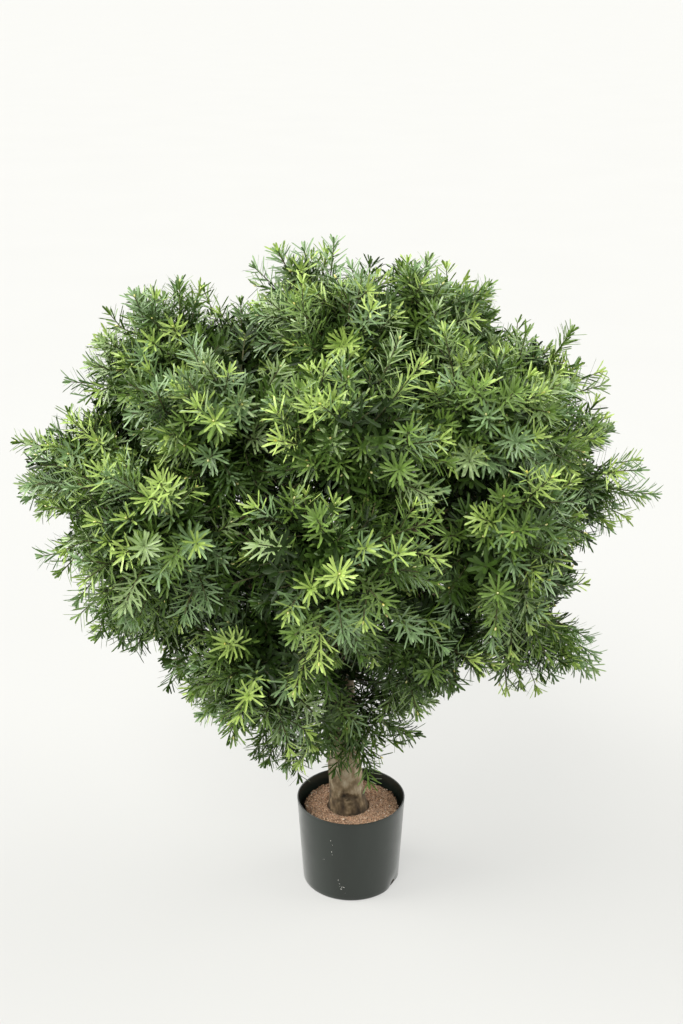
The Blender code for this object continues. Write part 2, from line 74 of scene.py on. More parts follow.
RECESS_DEPTH = 0.006            # dimple round the foot of the trunk
FILL_INNER = 0.0336             # the grit runs in to here, close round the foot of the trunk
FILL_RINGS = 30
FILL_SIDES = 144
TROUGH_FLOOR = FILL_TOP - 0.012 # the fill stays short of the wall, more on the left
GRAINS = 3000
GRAIN_SIZE = (0.0007, 0.0016)

# ---------------------------------------------------------------- sizes of trunk and boughs
TRUNK_FOOT_X = -0.004
TRUNK_RADIUS = 0.027
TRUNK_TIP_RADIUS = 0.011
TRUNK_TAPER = 1.45              # above 1, the trunk keeps its girth low down
TRUNK_FLARE = 0.0045
FLARE_HEIGHT = 0.012
TRUNK_LEAN = -0.016
TRUNK_SWAY = 0.006
TRUNK_RINGS = 190
TRUNK_CROWDING = 1.35           # above 1, the rings lie closer together low down
TRUNK_SIDES = 84
BARK_RELIEF = 0.0013

BOUGH_ROOT_RADIUS = 0.0062
BOUGH_TIP_RADIUS = 0.0042
BOUGH_STATIONS = 6
BOUGH_STAGGER = 0.024           # neighbours leave the trunk this far apart in height
BOUGH_RISE = 0.55               # slope at which a bough leaves the trunk
BOUGH_LAST = 0.012              # its last stretch is straight, on the axis of its mass
BOUGH_END = 0.62                # it ends this share of the reach short of the mass's centre
BOUGH_SIDES = 10
BOUGH_SPLITS = 4                # rings between two stations

# ---------------------------------------------------------------- sizes of the foliage
BREADTH = 0.36                  # a mass reaches this share further across its axis than along it
STEM_RADIUS = 0.0040
STEM_TIP_RADIUS = 0.0026
SHOOT_SPREAD = math.radians(104)
# a twig bears needles from its LEAFY share on, and bows up by its LIFT, a share of its length
SHOOT_LEAFY, SIDE_LEAFY, FILLER_LEAFY = 0.28, 0.14, 0.15
SHOOT_LIFT, SIDE_LIFT, FILLER_LIFT = 0.04, 0.02, 0.03
BOW = 0.09                      # and to either side by up to this share
SHOOT_REACH = (0.50, 0.80)      # most shoots end at such a share of the reach
SPIKE_REACH = (0.94, 1.05)      # some stand out of the rest
SPIKES = 0.32
END_ROOM = 0.012                # a shoot ends this far short, as its last needles stand out of it
SIDE_REACH = 0.83               # side twigs go no further than this
SIDE_PLACES = (0.36, 0.52, 0.68)    # where they leave a shoot, as shares of its length
SIDE_ODDS = 0.70                # share of these places that bear one
SIDE_LEAN = (34, 50)            # from the shoot, in degrees
SIDE_TURN = 0.7                 # each is opposite to the one before, give or take this angle
SIDE_SPAN = (0.65, 0.95)        # its length, as a share of the rest of the shoot's,
SIDE_EXTRA = 0.014              # and this much on top
SIDE_OUTSIDE = 0.004            # a side twig may leave its cell by this
SIDE_LEAST = 0.022              # a shorter one isn't grown
SHOOT_SHARE = 0.0030            # a mass has one aim for each such length of its reach
SPARSE_SHARE = 0.0085           # the same for the skirt, which is thin enough to show the trunk
LIT_REACH = (0.50, 0.86)        # tips at these shares of the reach all take painted shade, and all painted light
LIT_HEIGHTS = (0.36, 0.90)      # low in the crown fewer sprays take painted light, and high up more
LIT_SHIFT = (-0.53, 0.53)
INNER_KEPT = 0.50               # share of the shoots kept that end on a wall of the cell
INNER_SHARE = 0.80              # a shoot cut shorter than this by the cell counts as inner
FILLERS = 54                    # short dark shoots that fill the inside of a mass
FILLER_REACH = (0.50, 0.78)
FILLER_INWARD = 1.6             # those towards the heart of the crown are longer by this factor,
INWARD = -0.2                   # that is, where the cosine with the mass's axis is below this
SHOOT_LEAST = 0.040             # a shorter shoot isn't grown
SHOOT_RADIUS = 0.0019
TWIG_RADIUS = 0.0013
TWIG_TIP_RADIUS = 0.0008
TWIG_STEPS = 3
TWIG_SIDES = 3
LEADER_ROOM = math.radians(11)  # no other shoot grows this near a leader,
FEATHER_ROOM = math.radians(9)  # and no spike this near a feather
GOLDEN = math.radians(137.508)

NEEDLE_LENGTH = 0.0272
NEEDLE_WIDTH = 0.0030
LENGTH_VARIES = (0.88, 1.10)
WIDTH_VARIES = (0.85, 1.12)
NEEDLE_SPACING = 0.00175        # along the twig, from one needle to the next
LEAN_LOW, LEAN_HIGH = 62.0, 46.0    # from the twig, in degrees, at its foot and near its tip
TUFT_LEAN = (14, 38)            # and of the short needles at the very tip
TUFT_SIZE = 0.60
TUFTS = (5, 2)                  # how many there are, on an outer twig and inside
LONE_REACH = 0.88               # a shoot that ends beyond this share of the reach stands alone,
LONE_SPACING = 0.0019           # and its needles are further apart
PAIR_TWIST = math.radians(110)  # from one pair of opposite needles to the next
INNER_SPACING = 0.0037
INNER_WIDER = 1.9               # the hidden needles inside are broader
NEEDLE_OUTSIDE = 0.014          # a needle may reach this far past the wall of its cell
BUD_LENGTH = 0.0055
BUD_WIDTH = 0.0032
BUD_OUTLINE = ((0.0, 0.55), (0.35, 1.0), (0.72, 0.62))      # along, and width
BUD_SIDES = 5
BUD_ODDS = 0.45

CELL_MARGIN = 0.001             # each mass stays this far inside its cell
LIMB_MARGIN = 0.0012            # and this far from the trunk
SEED = 17


def in_metres(*rows):
    """Rows that are written in whole millimetres."""
    return [tuple(value / 1000 for value in row) for row in rows]


# height of the centres, distance from the tier's own axis, where that axis is, reach of the
# masses, direction of the first one, height on the trunk that they fan out from, and height at
# which their boughs leave it
Tier = namedtuple("Tier", "name count height out axis_x reach first heart bough")
TIERS = (
    Tier("crest", 3, 0.875, 0.073, 0.011, 0.130, 15, 0.630, 0.622),
    Tier("shoulder", 8, 0.796, 0.246, -0.005, 0.132, 0, 0.630, 0.568),
    Tier("belt", 8, 0.669, 0.318, -0.030, 0.138, 0, 0.630, 0.500),
    Tier("lower", 6, 0.498, 0.247, -0.010, 0.118, 0, 0.540, 0.415),
    Tier("skirt", 3, 0.335, 0.063, -0.046, 0.120, 60, 0.470, None),
)
NUDGES = {                      # higher by, further out by, and longer reach by
    "crest_1": (-0.008, 0.000, -0.008),
    "shoulder_1": (-0.015, 0.000, -0.008),
    "shoulder_4": (-0.010, 0.000, -0.010),
    "shoulder_5": (0.010, 0.000, 0.014),
    "belt_5": (0.010, 0.000, 0.000),
    "lower_1": (-0.015, 0.015, 0.004),
    "lower_6": (0.015, -0.015, -0.018),
}
LEADER_TIPS = in_metres(        # x and height of the tips that stand out furthest
    (-24, 1027), (-110, 1020), (105, 990), (192, 950), (307, 895), (360, 840), (452, 649), (379, 382),
    (-238, 965), (-300, 955), (-491, 736), (-440, 570), (-396, 416),
)
FEATHER_TIPS = in_metres(       # tips of single shoots that stand out of the outline
    (-68, 0, 1016), (28, 0, 999), (76, 0, 1001), (86, -30, 996), (130, 0, 990), (186, 0, 960),
    (266, 0, 899), (312, 0, 902), (375, 0, 757), (420, 0, 707), (437, 20, 638), (412, 0, 612),
    (357, 0, 512), (372, 0, 436), (380, 0, 359), (339, -40, 389), (314, 0, 343), (163, 0, 355),
    (125, -20, 318), (86, -40, 322), (96, -40, 267), (71, -50, 266), (32, -45, 185), (-79, -50, 194),
    (-128, -40, 221), (-153, -30, 229), (-174, 0, 208), (-242, 0, 283), (-244, -30, 354),
    (-332, 0, 399), (-362, 0, 430), (-412, 0, 489), (-395, -30, 538), (-466, 0, 559), (-486, 0, 658),
    (-410, 0, 822), (-364, 0, 885), (-298, 0, 951), (-259, -30, 955), (-241, 30, 968), (-216, 0, 943),
    (-377, 0, 852), (-432, 0, 758), (-484, 0, 642), (-381, 0, 463), (-342, 0, 823), (-364, 30, 777),
    (368, 0, 776), (384, -20, 606), (353, -20, 379), (131, 0, 317), (32, -50, 217), (196, 0, 954),
    (106, 0, 1004), (-110, 0, 1023), (-141, 0, 990), (365, 0, 819), (-350, -100, 770),
    (-330, -140, 720), (-400, -50, 730), (305, -115, 620), (300, -130, 520), (340, 110, 640),
    (340, 120, 540), (310, 150, 480), (-366, -60, 865), (-336, -60, 822), (384, 60, 740),
    (411, -60, 711), (-252, -60, 379), (-267, 60, 317), (-236, -60, 316), (129, -60, 343),
    (138, 60, 278), (377, 60, 324), (388, 60, 404), (-384, -60, 490), (-383, -60, 461),
    (-296, -60, 964), (-120, -20, 930), (-140, 30, 920), (125, -80, 920), (110, -60, 945),
)
SLIM = {"belt_1": 0.60, "shoulder_1": 0.84, "lower_1": 0.88}    # share of the reach left outward
VALLEY_FOCUS = Vector((-0.015, -1.948, 1.358))  # in front of the crown, as in the part's source
# notches in the crown's outline, which fan out from the focus and run back through its edge: x and
# height where they cross y = 0, and half their width
VALLEYS = in_metres(
    (151, 982, 17), (222, 920, 20), (268, 923, 18), (338, 849, 12), (353, 595, 12), (317, 544, 12),
    (308, 461, 15), (341, 704, 12), (-454, 696, 12), (-97, 999, 12), (144, 972, 13), (246, 345, 14),
    (56, 261, 10), (273, 342, 14), (327, 449, 14), (-141, 270, 12), (-335, 909, 11), (345, 787, 16),
    (317, 866, 13), (391, 736, 15), (358, 711, 12), (378, 562, 24), (357, 548, 15), (387, 528, 30),
    (418, 515, 26), (350, 479, 27), (376, 476, 19), (282, 335, 13), (175, 355, 17), (229, 331, 12),
    (322, 474, 22), (131, 981, 14), (199, 906, 17), (274, 888, 17), (309, 855, 16), (-102, 990, 10),
    (-27, 982, 10), (-183, 940, 14), (-141, 951, 13), (-428, 603, 22), (-303, 403, 16), (335, 545, 14),
    (-440, 441, 14), (-190, 262, 10), (-111, 226, 11), (213, 327, 19), (171, 306, 19), (135, 268, 19),
    (64, 207, 21), (-216, 231, 19), (-304, 375, 15), (-341, 378, 19), (-436, 502, 14), (-462, 591, 18),
    (-485, 700, 13), (-172, 961, 22),
)
VALLEY_SHOOTS = 0.8             # shoots keep this share of a valley's width open
VALLEY_NEEDLES = (0.3, 0.9)     # and each needle a share between these
# dark hollows in the front of the crown, between its masses, given as the valleys are; twigs in them
# are cut short and given painted shade
HOLLOWS = in_metres(
    (-113, 603, 30), (-114, 523, 37), (-126, 441, 28), (-117, 369, 28), (-47, 567, 22), (29, 757, 24),
    (188, 531, 26), (176, 446, 22),
)
HOLLOW_KEEPS = 0.7              # a twig that ends in one keeps this share of its length


# ---------------------------------------------------------------- materials
def blank_material(name, colour, roughness):
    """A Principled material with plain values, and its node tree and shader."""
    made = bpy.data.materials.new(name)
    made.use_nodes = True
    tree = made.node_tree
    shader = tree.nodes["Principled BSDF"]
    shader.inputs["Base Color"].default_value = (*colour, 1.0)
    shader.inputs["Roughness"].default_value = roughness
    made.diffuse_color = (*colour, 1.0)
    return made, tree, shader


def noise_node(tree, scale, detail=3.0, stretch=(1.0, 1.0, 1.0)):
    """A noise pattern on the object's own coordinates, stretched along the axes."""
    place = tree.nodes.new("ShaderNodeTexCoord")
    mapping = tree.nodes.new("ShaderNodeMapping")
    mapping.inputs["Scale"].default_value = stretch
    pattern = tree.nodes.new("ShaderNodeTexNoise")
    pattern.inputs["Scale"].default_value = scale
    pattern.inputs["Detail"].default_value = detail
    tree.links.new(place.outputs["Object"], mapping.inputs["Vector"])
    tree.links.new(mapping.outputs["Vector"], pattern.inputs["Vector"])
    return pattern.outputs["Fac"]


def ramp_node(tree, factor, stops):
    """A colour ramp over a factor. Stops are (position, colour) pairs."""
    ramp = tree.nodes.new("ShaderNodeValToRGB")
    elements = ramp.color_ramp.elements
    while len(elements) < len(stops):
        elements.new(0.5)
    for element, (position, colour) in zip(elements, stops):
        element.position = position
        element.color = (*colour, 1.0)
    tree.links.new(factor, ramp.inputs["Fac"])
    return ramp.outputs["Color"]


def range_node(tree, factor, low, high, start=0.0, end=1.0):
    node = tree.nodes.new("ShaderNodeMapRange")
    for socket, value in (("From Min", start), ("From Max", end), ("To Min", low), ("To Max", high)):
        node.inputs[socket].default_value = value
    tree.links.new(factor, node.inputs["Value"])
    return node.outputs["Result"]


def bump(tree, shader, height, strength, distance):
    node = tree.nodes.new("ShaderNodeBump")
    node.inputs["Strength"].default_value = strength
    node.inputs["Distance"].default_value = distance
    tree.links.new(height, node.inputs["Height"])
    tree.links.new(node.outputs["Normal"], shader.inputs["Normal"])


def shades(colour, *steps):
    """Ramp stops in darker and lighter shades of one colour, from (position, factor) pairs."""
    return [(place, tuple(min(channel * factor, 1.0) for channel in colour)) for place, factor in steps]


def mottled_material(name, colour, roughness, pattern, stops, grain=None, strength=0.0, distance=0.0):
    """A material whose colour follows a noise pattern, with a finer grain as bump."""
    made, tree, shader = blank_material(name, colour, roughness)
    tree.links.new(ramp_node(tree, noise_node(tree, *pattern), stops), shader.inputs["Base Color"])
    if grain:
        bump(tree, shader, noise_node(tree, *grain), strength, distance)
    return made, tree, shader


def vary_roughness(tree, shader, pattern, low, high):
    varied = range_node(tree, noise_node(tree, *pattern), low, high, 0.3, 0.7)
    tree.links.new(varied, shader.inputs["Roughness"])


def needle_material(name, colour, gloss):
    """Soft moulded plastic: a green that varies a little from place to place, half glossy."""
    stops = shades(colour, (0.30, 0.74), (0.50, 1.0), (0.72, 1.28))
    made, tree, shader = mottled_material(
        name, colour, 0.36, (70.0, 2.0), stops, (900.0, 2.0), 0.15, 0.0003)
    shader.inputs["Specular IOR Level"].default_value = gloss
    vary_roughness(tree, shader, (160.0,), 0.28, 0.46)
    return made


def twig_material():
    stops = ((0.35, (0.038, 0.052, 0.015)), (0.65, (0.095, 0.088, 0.036)))
    made, _, shader = mottled_material(
        "twig_green", (0.065, 0.072, 0.026), 0.7, (120.0,), stops, (700.0,), 0.3, 0.0004)
    shader.inputs["Specular IOR Level"].default_value = 0.3
    return made


def bud_material():
    stops = ((0.32, (0.80, 0.64, 0.12)), (0.55, (0.94, 0.90, 0.42)), (0.75, (0.96, 0.94, 0.62)))
    return mottled_material("bud_cream", (0.88, 0.82, 0.30), 0.5, (300.0,), stops)[0]


def math_node(tree, operation, value, factor):
    """A Math node with its first input linked and its second set."""
    node = tree.nodes.new("ShaderNodeMath")
    node.operation = operation
    node.inputs[1].default_value = factor
    tree.links.new(value, node.inputs[0])
    return node


def bark_material(name):
    """Grey-brown bark: pale ridges and darker hollows from the mesh's own tone, with mottling."""
    made, tree, shader = blank_material(name, (0.22, 0.18, 0.13), 0.85)
    tone = tree.nodes.new("ShaderNodeAttribute")
    tone.attribute_name = "tone"
    mottle = math_node(tree, "MULTIPLY_ADD", noise_node(tree, 100.0, 6.0, (1.0, 1.0, 0.6)), 0.85)
    relief = math_node(tree, "MULTIPLY", tone.outputs["Fac"], 0.42)
    tree.links.new(relief.outputs["Value"], mottle.inputs[2])
    stops = (
        (0.30, (0.030, 0.020, 0.012)), (0.50, (0.130, 0.090, 0.048)), (0.62, (0.270, 0.200, 0.114)),
        (0.79, (0.500, 0.425, 0.300)),
    )
    tree.links.new(ramp_node(tree, mottle.outputs["Value"], stops), shader.inputs["Base Color"])
    bump(tree, shader, noise_node(tree, 320.0, 6.0, (1.0, 1.0, 0.35)), 0.55, 0.0012)
    return made


def pot_material(name, sheen):
    """Dark moulded plastic, faintly streaked and scuffed, with a dusty sheen."""
    stops = (
        (0.30, (0.010, 0.014, 0.010)), (0.55, (0.014, 0.020, 0.015)), (0.80, (0.024, 0.031, 0.025)),
    )
    streaks = (16.0, 4.0, (1.0, 1.0, 0.22))
    made, tree, shader = mottled_material(
        name, (0.013, 0.018, 0.014), 0.34, streaks, stops, (1400.0, 2.0), 0.10, 0.0002)
    shader.inputs["Sheen Weight"].default_value = sheen
    shader.inputs["Sheen Roughness"].default_value = 0.35
    vary_roughness(tree, shader, (42.0, 6.0), 0.28, 0.40)
    return made


def grit_material(name, colour):
    stops = shades(colour, (0.30, 0.55), (0.52, 1.0), (0.75, 1.45))
    return mottled_material(name, colour, 0.95, (420.0, 4.0), stops, (1100.0, 4.0), 0.7, 0.0008)[0]


def splash_material():
    stops = ((0.35, (0.55, 0.55, 0.50)), (0.65, (0.82, 0.82, 0.78)))
    return mottled_material("splash_white", (0.75, 0.75, 0.70), 0.7, (900.0,), stops)[0]


# ---------------------------------------------------------------- meshes and pieces
def array_mesh(name, points, faces, finishes, finish_of_face=None, smooth=False):
    """A mesh from an array of points and arrays of triangles and quads."""
    mesh = bpy.data.meshes.new(name)
    mesh.vertices.add(len(points))
    mesh.vertices.foreach_set("co", np.asarray(points, np.float32).ravel())
    sizes = np.concatenate([np.full(len(block), block.shape[1]) for block in faces])
    corners = np.concatenate([block.ravel() for block in faces])
    mesh.loops.add(len(corners))
    mesh.loops.foreach_set("vertex_index", corners.astype(np.int32))
    mesh.polygons.add(len(sizes))
    starts = np.concatenate([[0], np.cumsum(sizes)[:-1]])
    mesh.polygons.foreach_set("loop_start", starts.astype(np.int32))
    for finish in finishes:
        mesh.materials.append(finish)
    if finish_of_face is not None:
        mesh.polygons.foreach_set("material_index", finish_of_face.astype(np.int32))
    mesh.polygons.foreach_set("use_smooth", np.full(len(sizes), smooth))
    mesh.update(calc_edges=True)
    mesh.validate()
    return mesh


def add_piece(name, mesh, replaced):
    piece = bpy.data.objects.new(name, mesh)
    bpy.context.scene.collection.objects.link(piece)
    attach(piece, "root")
    if replaced:
        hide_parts(*replaced)
    return piece


def grid_faces(rings, sides):
    """Quads between successive rings of a closed tube."""
    ring, side = np.meshgrid(np.arange(rings - 1), np.arange(sides), indexing="ij")
    after = (side + 1) % sides
    low, high = ring * sides, (ring + 1) * sides
    return np.stack([low + side, low + after, high + after, high + side], -1).reshape(-1, 4)


def fan(ring, sides, centre, turned=False):
    """Triangles between a centre point and a ring, given by the number of the ring's first point."""
    side = np.arange(sides)
    pair = [ring + side, ring + (side + 1) % sides]
    return np.stack([*(reversed(pair) if turned else pair), np.full(sides, centre)], -1)


def turned_from(middle, turn):
    """The angle between two turns, from -pi to pi."""
    return (turn - middle + math.pi) % (2 * math.pi) - math.pi


def around(axis, side, turn):
    """A direction square to the axis, turned round it from the side."""
    return side * math.cos(turn) + axis.cross(side) * math.sin(turn)


def noise_round(turn, scale, level):
    """Noise that closes round an axis."""
    return noise.noise(Vector((scale * math.cos(turn), scale * math.sin(turn), level)))


# ---------------------------------------------------------------- pot
def wall_radius(height):
    return POT_BASE_RADIUS + (POT_TOP_RADIUS - POT_BASE_RADIUS) * height / POT_HEIGHT


def arc(centre, radius, start, end, steps):
    """Points of a profile's arc, angles in degrees from +radius towards +height."""
    angles = np.radians(np.linspace(start, end, steps))
    return [(centre[0] + radius * math.cos(a), centre[1] + radius * math.sin(a)) for a in angles]


def pot_profile():
    """Radius and height down the outer wall, round the foot, and from the inner floor up to the lip."""
    lip = POT_WALL / 2
    outer = [(wall_radius(h), h) for h in np.linspace(POT_HEIGHT - lip, POT_EDGE, 26)]
    foot = arc((POT_BASE_RADIUS - POT_EDGE, POT_EDGE), POT_EDGE, 0, -90, 6)[1:]
    under = [(POT_BASE_RADIUS * share, 0.0) for share in (0.8, 0.5, 0.2)]
    inside = [((wall_radius(POT_FLOOR) - POT_WALL) * share, POT_FLOOR) for share in (0.2, 0.6, 1.0)]
    inner = [(wall_radius(h) - POT_WALL, h) for h in np.linspace(POT_FLOOR, POT_HEIGHT - lip, 12)[1:]]
    lip_arc = arc((POT_TOP_RADIUS - lip, POT_HEIGHT - lip), lip, 180, 0, 7)[1:-1]
    return outer + foot + under, inside + inner + lip_arc


def pot_points():
    outer, inner = pot_profile()
    profile = outer + inner
    turns = np.linspace(0.0, 2 * math.pi, POT_SIDES, endpoint=False)
    points = []
    for radius, height in profile:
        rise = height / POT_HEIGHT
        for turn in turns:
            waver = POT_WAVER * rise * noise_round(turn, 1.6, 9 * height)
            away = turned_from(DENT.turn, turn) * POT_BASE_RADIUS
            pit = math.exp(-(away ** 2 + (height - DENT.height) ** 2) / DENT.size ** 2)
            r = radius + waver - (DENT.depth * pit if radius > 0.9 * POT_BASE_RADIUS else 0.0)
            points.append((r * math.cos(turn), r * math.sin(turn), height))
    return np.array(points), len(outer), len(inner)


def build_pot():
    points, outer, inner = pot_points()
    quads = grid_faces(outer + inner, POT_SIDES)
    quads = quads[quads[:, 0] // POT_SIDES != outer - 1]
    side = np.arange(POT_SIDES)
    after = (side + 1) % POT_SIDES
    last = (outer + inner - 1) * POT_SIDES
    seam = np.stack([last + side, last + after, after, side], -1)
    under, above = len(points), len(points) + 1
    points = np.vstack([points, [(0.0, 0.0, 0.0), (0.0, 0.0, POT_FLOOR)]])
    caps = np.concatenate([
        fan((outer - 1) * POT_SIDES, POT_SIDES, under),
        fan(outer * POT_SIDES, POT_SIDES, above, turned=True),
    ])
    inside = np.concatenate([
        quads[:, 0] // POT_SIDES >= outer, np.zeros(POT_SIDES), np.arange(2 * POT_SIDES) >= POT_SIDES,
    ])
    finishes = [pot_material("pot_plastic_dark", 0.55), pot_material("pot_plastic_inner", 0.0)]
    mesh = array_mesh("pot_shell", points, [np.concatenate([quads, seam])[:, ::-1], caps[:, ::-1]],
                      finishes, inside, smooth=True)
    mesh.set_sharp_from_angle(angle=math.radians(40))
    add_piece("pot_shell", mesh, ["pot"])
    build_splashes()


SPLASHES = (            # turn in degrees, height, size, length: dried drops on the front of the wall
    (-112.5, 0.1110, 0.00056, 1.6), (-110.8, 0.1035, 0.00040, 2.0), (-111.8, 0.0905, 0.00080, 1.2),
    (-111.2, 0.0850, 0.00032, 2.0), (-121.5, 0.0720, 0.00024, 4.0), (-104.8, 0.0390, 0.00040, 3.4),
    (-103.6, 0.0320, 0.00048, 2.2), (-101.6, 0.0225, 0.00096, 1.0), (-100.6, 0.0262, 0.00064, 1.5),
    (-98.4, 0.0262, 0.00056, 1.8), (-103.0, 0.0275, 0.00032, 2.0), (-96.8, 0.0150, 0.00024, 1.4),
)
SPLASH_SIDES = 9
SPLASH_RINGS = ((1.0, -0.0001), (0.62, 0.00028))    # share of the size, and lift off the wall
SPLASH_TOP = 0.0004             # lift of the middle
SPLASH_SUNK = 0.00005


def build_splashes():
    """Small dried drops of white on the pot: shallow ragged domes."""
    chance = random.Random(SEED)
    sides = SPLASH_SIDES
    points, faces = [], []
    for turn, height, size, tall in SPLASHES:
        out = Vector((math.cos(math.radians(turn)), math.sin(math.radians(turn)), 0.0))
        across = Vector((-out.y, out.x, 0.0))
        middle = out * (wall_radius(height) - SPLASH_SUNK) + Vector((0.0, 0.0, height))
        first = len(points)
        for share, lift in SPLASH_RINGS:
            for i in range(sides):
                angle = 2 * math.pi * i / sides
                spread = size * share * chance.uniform(0.7, 1.2)
                point = middle + out * lift + across * spread * math.cos(angle)
                points.append(point + Vector((0.0, 0.0, spread * math.sin(angle) * tall)))
        points.append(middle + out * SPLASH_TOP)
        for i in range(sides):
            after = (i + 1) % sides
            faces.append((first + i, first + after, first + sides + after))
            faces.append((first + i, first + sides + after, first + sides + i))
            faces.append((first + sides + i, first + sides + after, first + 2 * sides))
    faces = [np.array(faces)]
    mesh = array_mesh("pot_splashes", np.array(points), faces, [splash_material()], smooth=True)
    add_piece("pot_splashes", mesh, None)


# ---------------------------------------------------------------- fill
FILL_SUNK = 0.0016              # the bed lies this far under the solid's surface, for the grains
FILL_WAVES = ((28, 3.0, 0.0011), (150, 8.0, 0.0006), (520, 1.0, 0.0005))    # scale, level and size
TROUGH_WIDTH = 0.0070
TROUGH_SHIFT = 0.0010           # wider by this on the left, and narrower on the right
TROUGH_SLOPE = 0.003            # the fill goes down to its floor over this width
SHADE_BAND_WIDTH = 0.0055             # half the width of the painted shade on the left of the fill
RECESS_EDGE = 0.0003            # the side of the recess leans in by this
# the shaded grit is painted shade down in the trough by the wall, and the shade band is painted shade
# in from it on the left
BED_COLOURS = (
    ("grit_bed", (0.400, 0.255, 0.165)), ("grit_shaded", (0.034, 0.026, 0.020)),
    ("grit_dusty", (0.190, 0.118, 0.076)),
)
BED, SHADED, SHADE_BAND = range(len(BED_COLOURS))
GRAIN_COLOURS = (
    ("grit_russet", (0.530, 0.330, 0.210)), ("grit_brown", (0.240, 0.145, 0.090)),
    ("grit_tan", (0.660, 0.490, 0.355)), ("grit_pale", (0.840, 0.770, 0.640)),
)
GRAIN_ODDS = (0.46, 0.32, 0.19, 0.03)


def fill_height(x, y):
    """The uneven surface of the fill."""
    height = FILL_TOP - FILL_SUNK
    for scale, level, size in FILL_WAVES:
        height += size * noise.noise(Vector((scale * x, scale * y, level)))
    return height


def plug_radius(height):
    """Where the fill would meet the wall."""
    return wall_radius(height) - POT_WALL - GAP


def trough_width(turn):
    """How far the fill stays short of the wall."""
    ragged = 0.0022 * noise_round(turn, 4, 9.0)
    crumbs = 0.0010 * noise_round(turn, 19, 4.0)
    return TROUGH_WIDTH - TROUGH_SHIFT * math.cos(turn) + ragged + crumbs


def shade_band_width(turn):
    """How far the painted shade on the fill reaches in from its edge, on the left only."""
    return SHADE_BAND_WIDTH * (1.0 - math.cos(turn)) + 0.0030 * noise_round(turn, 5, 6.0)


def build_fill():
    """Surface rings from the wall in to the recess and its floor, with a hidden plug below."""
    wall, floor = plug_radius(FILL_TOP), POT_FLOOR + GAP
    turns = np.linspace(0.0, 2 * math.pi, FILL_SIDES, endpoint=False)
    points = []
    plug = ((plug_radius(floor), floor), (plug_radius(TROUGH_FLOOR), TROUGH_FLOOR - 0.002))
    for radius, height in plug:
        points += [(radius * math.cos(turn), radius * math.sin(turn), height) for turn in turns]
    finish = np.full((FILL_RINGS + 3, FILL_SIDES), BED)
    finish[:2] = SHADED
    for ring in range(FILL_RINGS):
        share = ring / (FILL_RINGS - 1)
        for place, turn in enumerate(turns):
            ragged = 0.0016 * noise_round(turn, 6, 5.0)
            radius = wall + (FILL_INNER + ragged - wall) * share
            x = TRUNK_FOOT_X * share + radius * math.cos(turn)
            y = radius * math.sin(turn)
            beyond = radius - wall + trough_width(turn)
            drop = min(max(beyond / TROUGH_SLOPE + 0.5, 0.0), 1.0)
            # painted shade in the trough by the wall, and in a band in from it on the left
            if drop > 0.4:
                finish[ring + 2, place] = SHADED
            elif beyond > -shade_band_width(turn):
                finish[ring + 2, place] = SHADE_BAND
            points.append((x, y, fill_height(x, y) + drop * (TROUGH_FLOOR - FILL_TOP)))
    for radius in (FILL_INNER - RECESS_EDGE, 0.8 * FILL_INNER):
        for turn in turns:
            x = TRUNK_FOOT_X + radius * math.cos(turn)
            points.append((x, radius * math.sin(turn), FILL_TOP - RECESS_DEPTH))
    rings = FILL_RINGS + 4
    low, high = len(points), len(points) + 1
    points += [(0.0, 0.0, floor), (TRUNK_FOOT_X, 0.0, FILL_TOP - RECESS_DEPTH)]
    caps = np.concatenate([
        fan(0, FILL_SIDES, low, turned=True), fan((rings - 1) * FILL_SIDES, FILL_SIDES, high),
    ])
    finish = np.concatenate([finish.ravel(), np.full(FILL_SIDES, SHADED), np.full(FILL_SIDES, BED)])
    mesh = array_mesh("soil_bed", np.array(points), [grid_faces(rings, FILL_SIDES), caps],
                      [grit_material(*colour) for colour in BED_COLOURS], finish, smooth=True)
    mesh.set_sharp_from_angle(angle=math.radians(45))
    add_piece("soil_bed", mesh, ["soil"])
    build_grains(wall)


def build_grains(wall):
    """Loose grit on the fill: bent octahedra of a few colours."""
    dice = np.random.default_rng(SEED)
    turn = dice.uniform(0.0, 2 * math.pi, GRAINS)
    inner, outer = FILL_INNER + 0.001, wall - 0.001 - np.array([trough_width(at) for at in turn])
    radius = np.sqrt(dice.uniform(inner ** 2, outer ** 2))
    x = TRUNK_FOOT_X * (outer - radius) / (outer - inner) + radius * np.cos(turn)
    y = radius * np.sin(turn)
    z = np.array([fill_height(*at) for at in zip(x, y)])
    size = dice.uniform(*GRAIN_SIZE, GRAINS)
    corners = np.array([(1, 0, 0), (0, 1, 0), (-1, 0, 0), (0, -1, 0), (0, 0, 1), (0, 0, -1)], float)
    shapes = corners[None] * dice.uniform(0.6, 1.25, (GRAINS, 6, 1))
    shapes += dice.uniform(-0.25, 0.25, (GRAINS, 6, 3))
    centres = np.stack([x, y, z + 0.2 * size], -1)
    points = centres[:, None] + shapes * size[:, None, None]
    pattern = np.concatenate([fan(0, 4, 4), fan(0, 4, 5, turned=True)])
    faces = (np.arange(GRAINS)[:, None, None] * 6 + pattern[None]).reshape(-1, 3)
    colours = dice.choice(len(GRAIN_COLOURS), GRAINS, p=GRAIN_ODDS)
    finishes = [grit_material(name, colour) for name, colour in GRAIN_COLOURS]
    colours = np.repeat(colours, len(pattern))
    mesh = array_mesh("soil_grains", points.reshape(-1, 3), [faces], finishes, colours)
    add_piece("soil_grains", mesh, None)


# ---------------------------------------------------------------- trunk and boughs
def trunk_share(height):
    return min(max((height - TRUNK_FOOT) / (TRUNK_TOP - TRUNK_FOOT), 0.0), 1.0)


def trunk_centre(height):
    share = trunk_share(height)
    lean = TRUNK_LEAN * math.sin(0.9 * math.pi * share)
    sway = TRUNK_SWAY * math.sin(1.6 * math.pi * share)
    return Vector((TRUNK_FOOT_X + lean, sway, height))


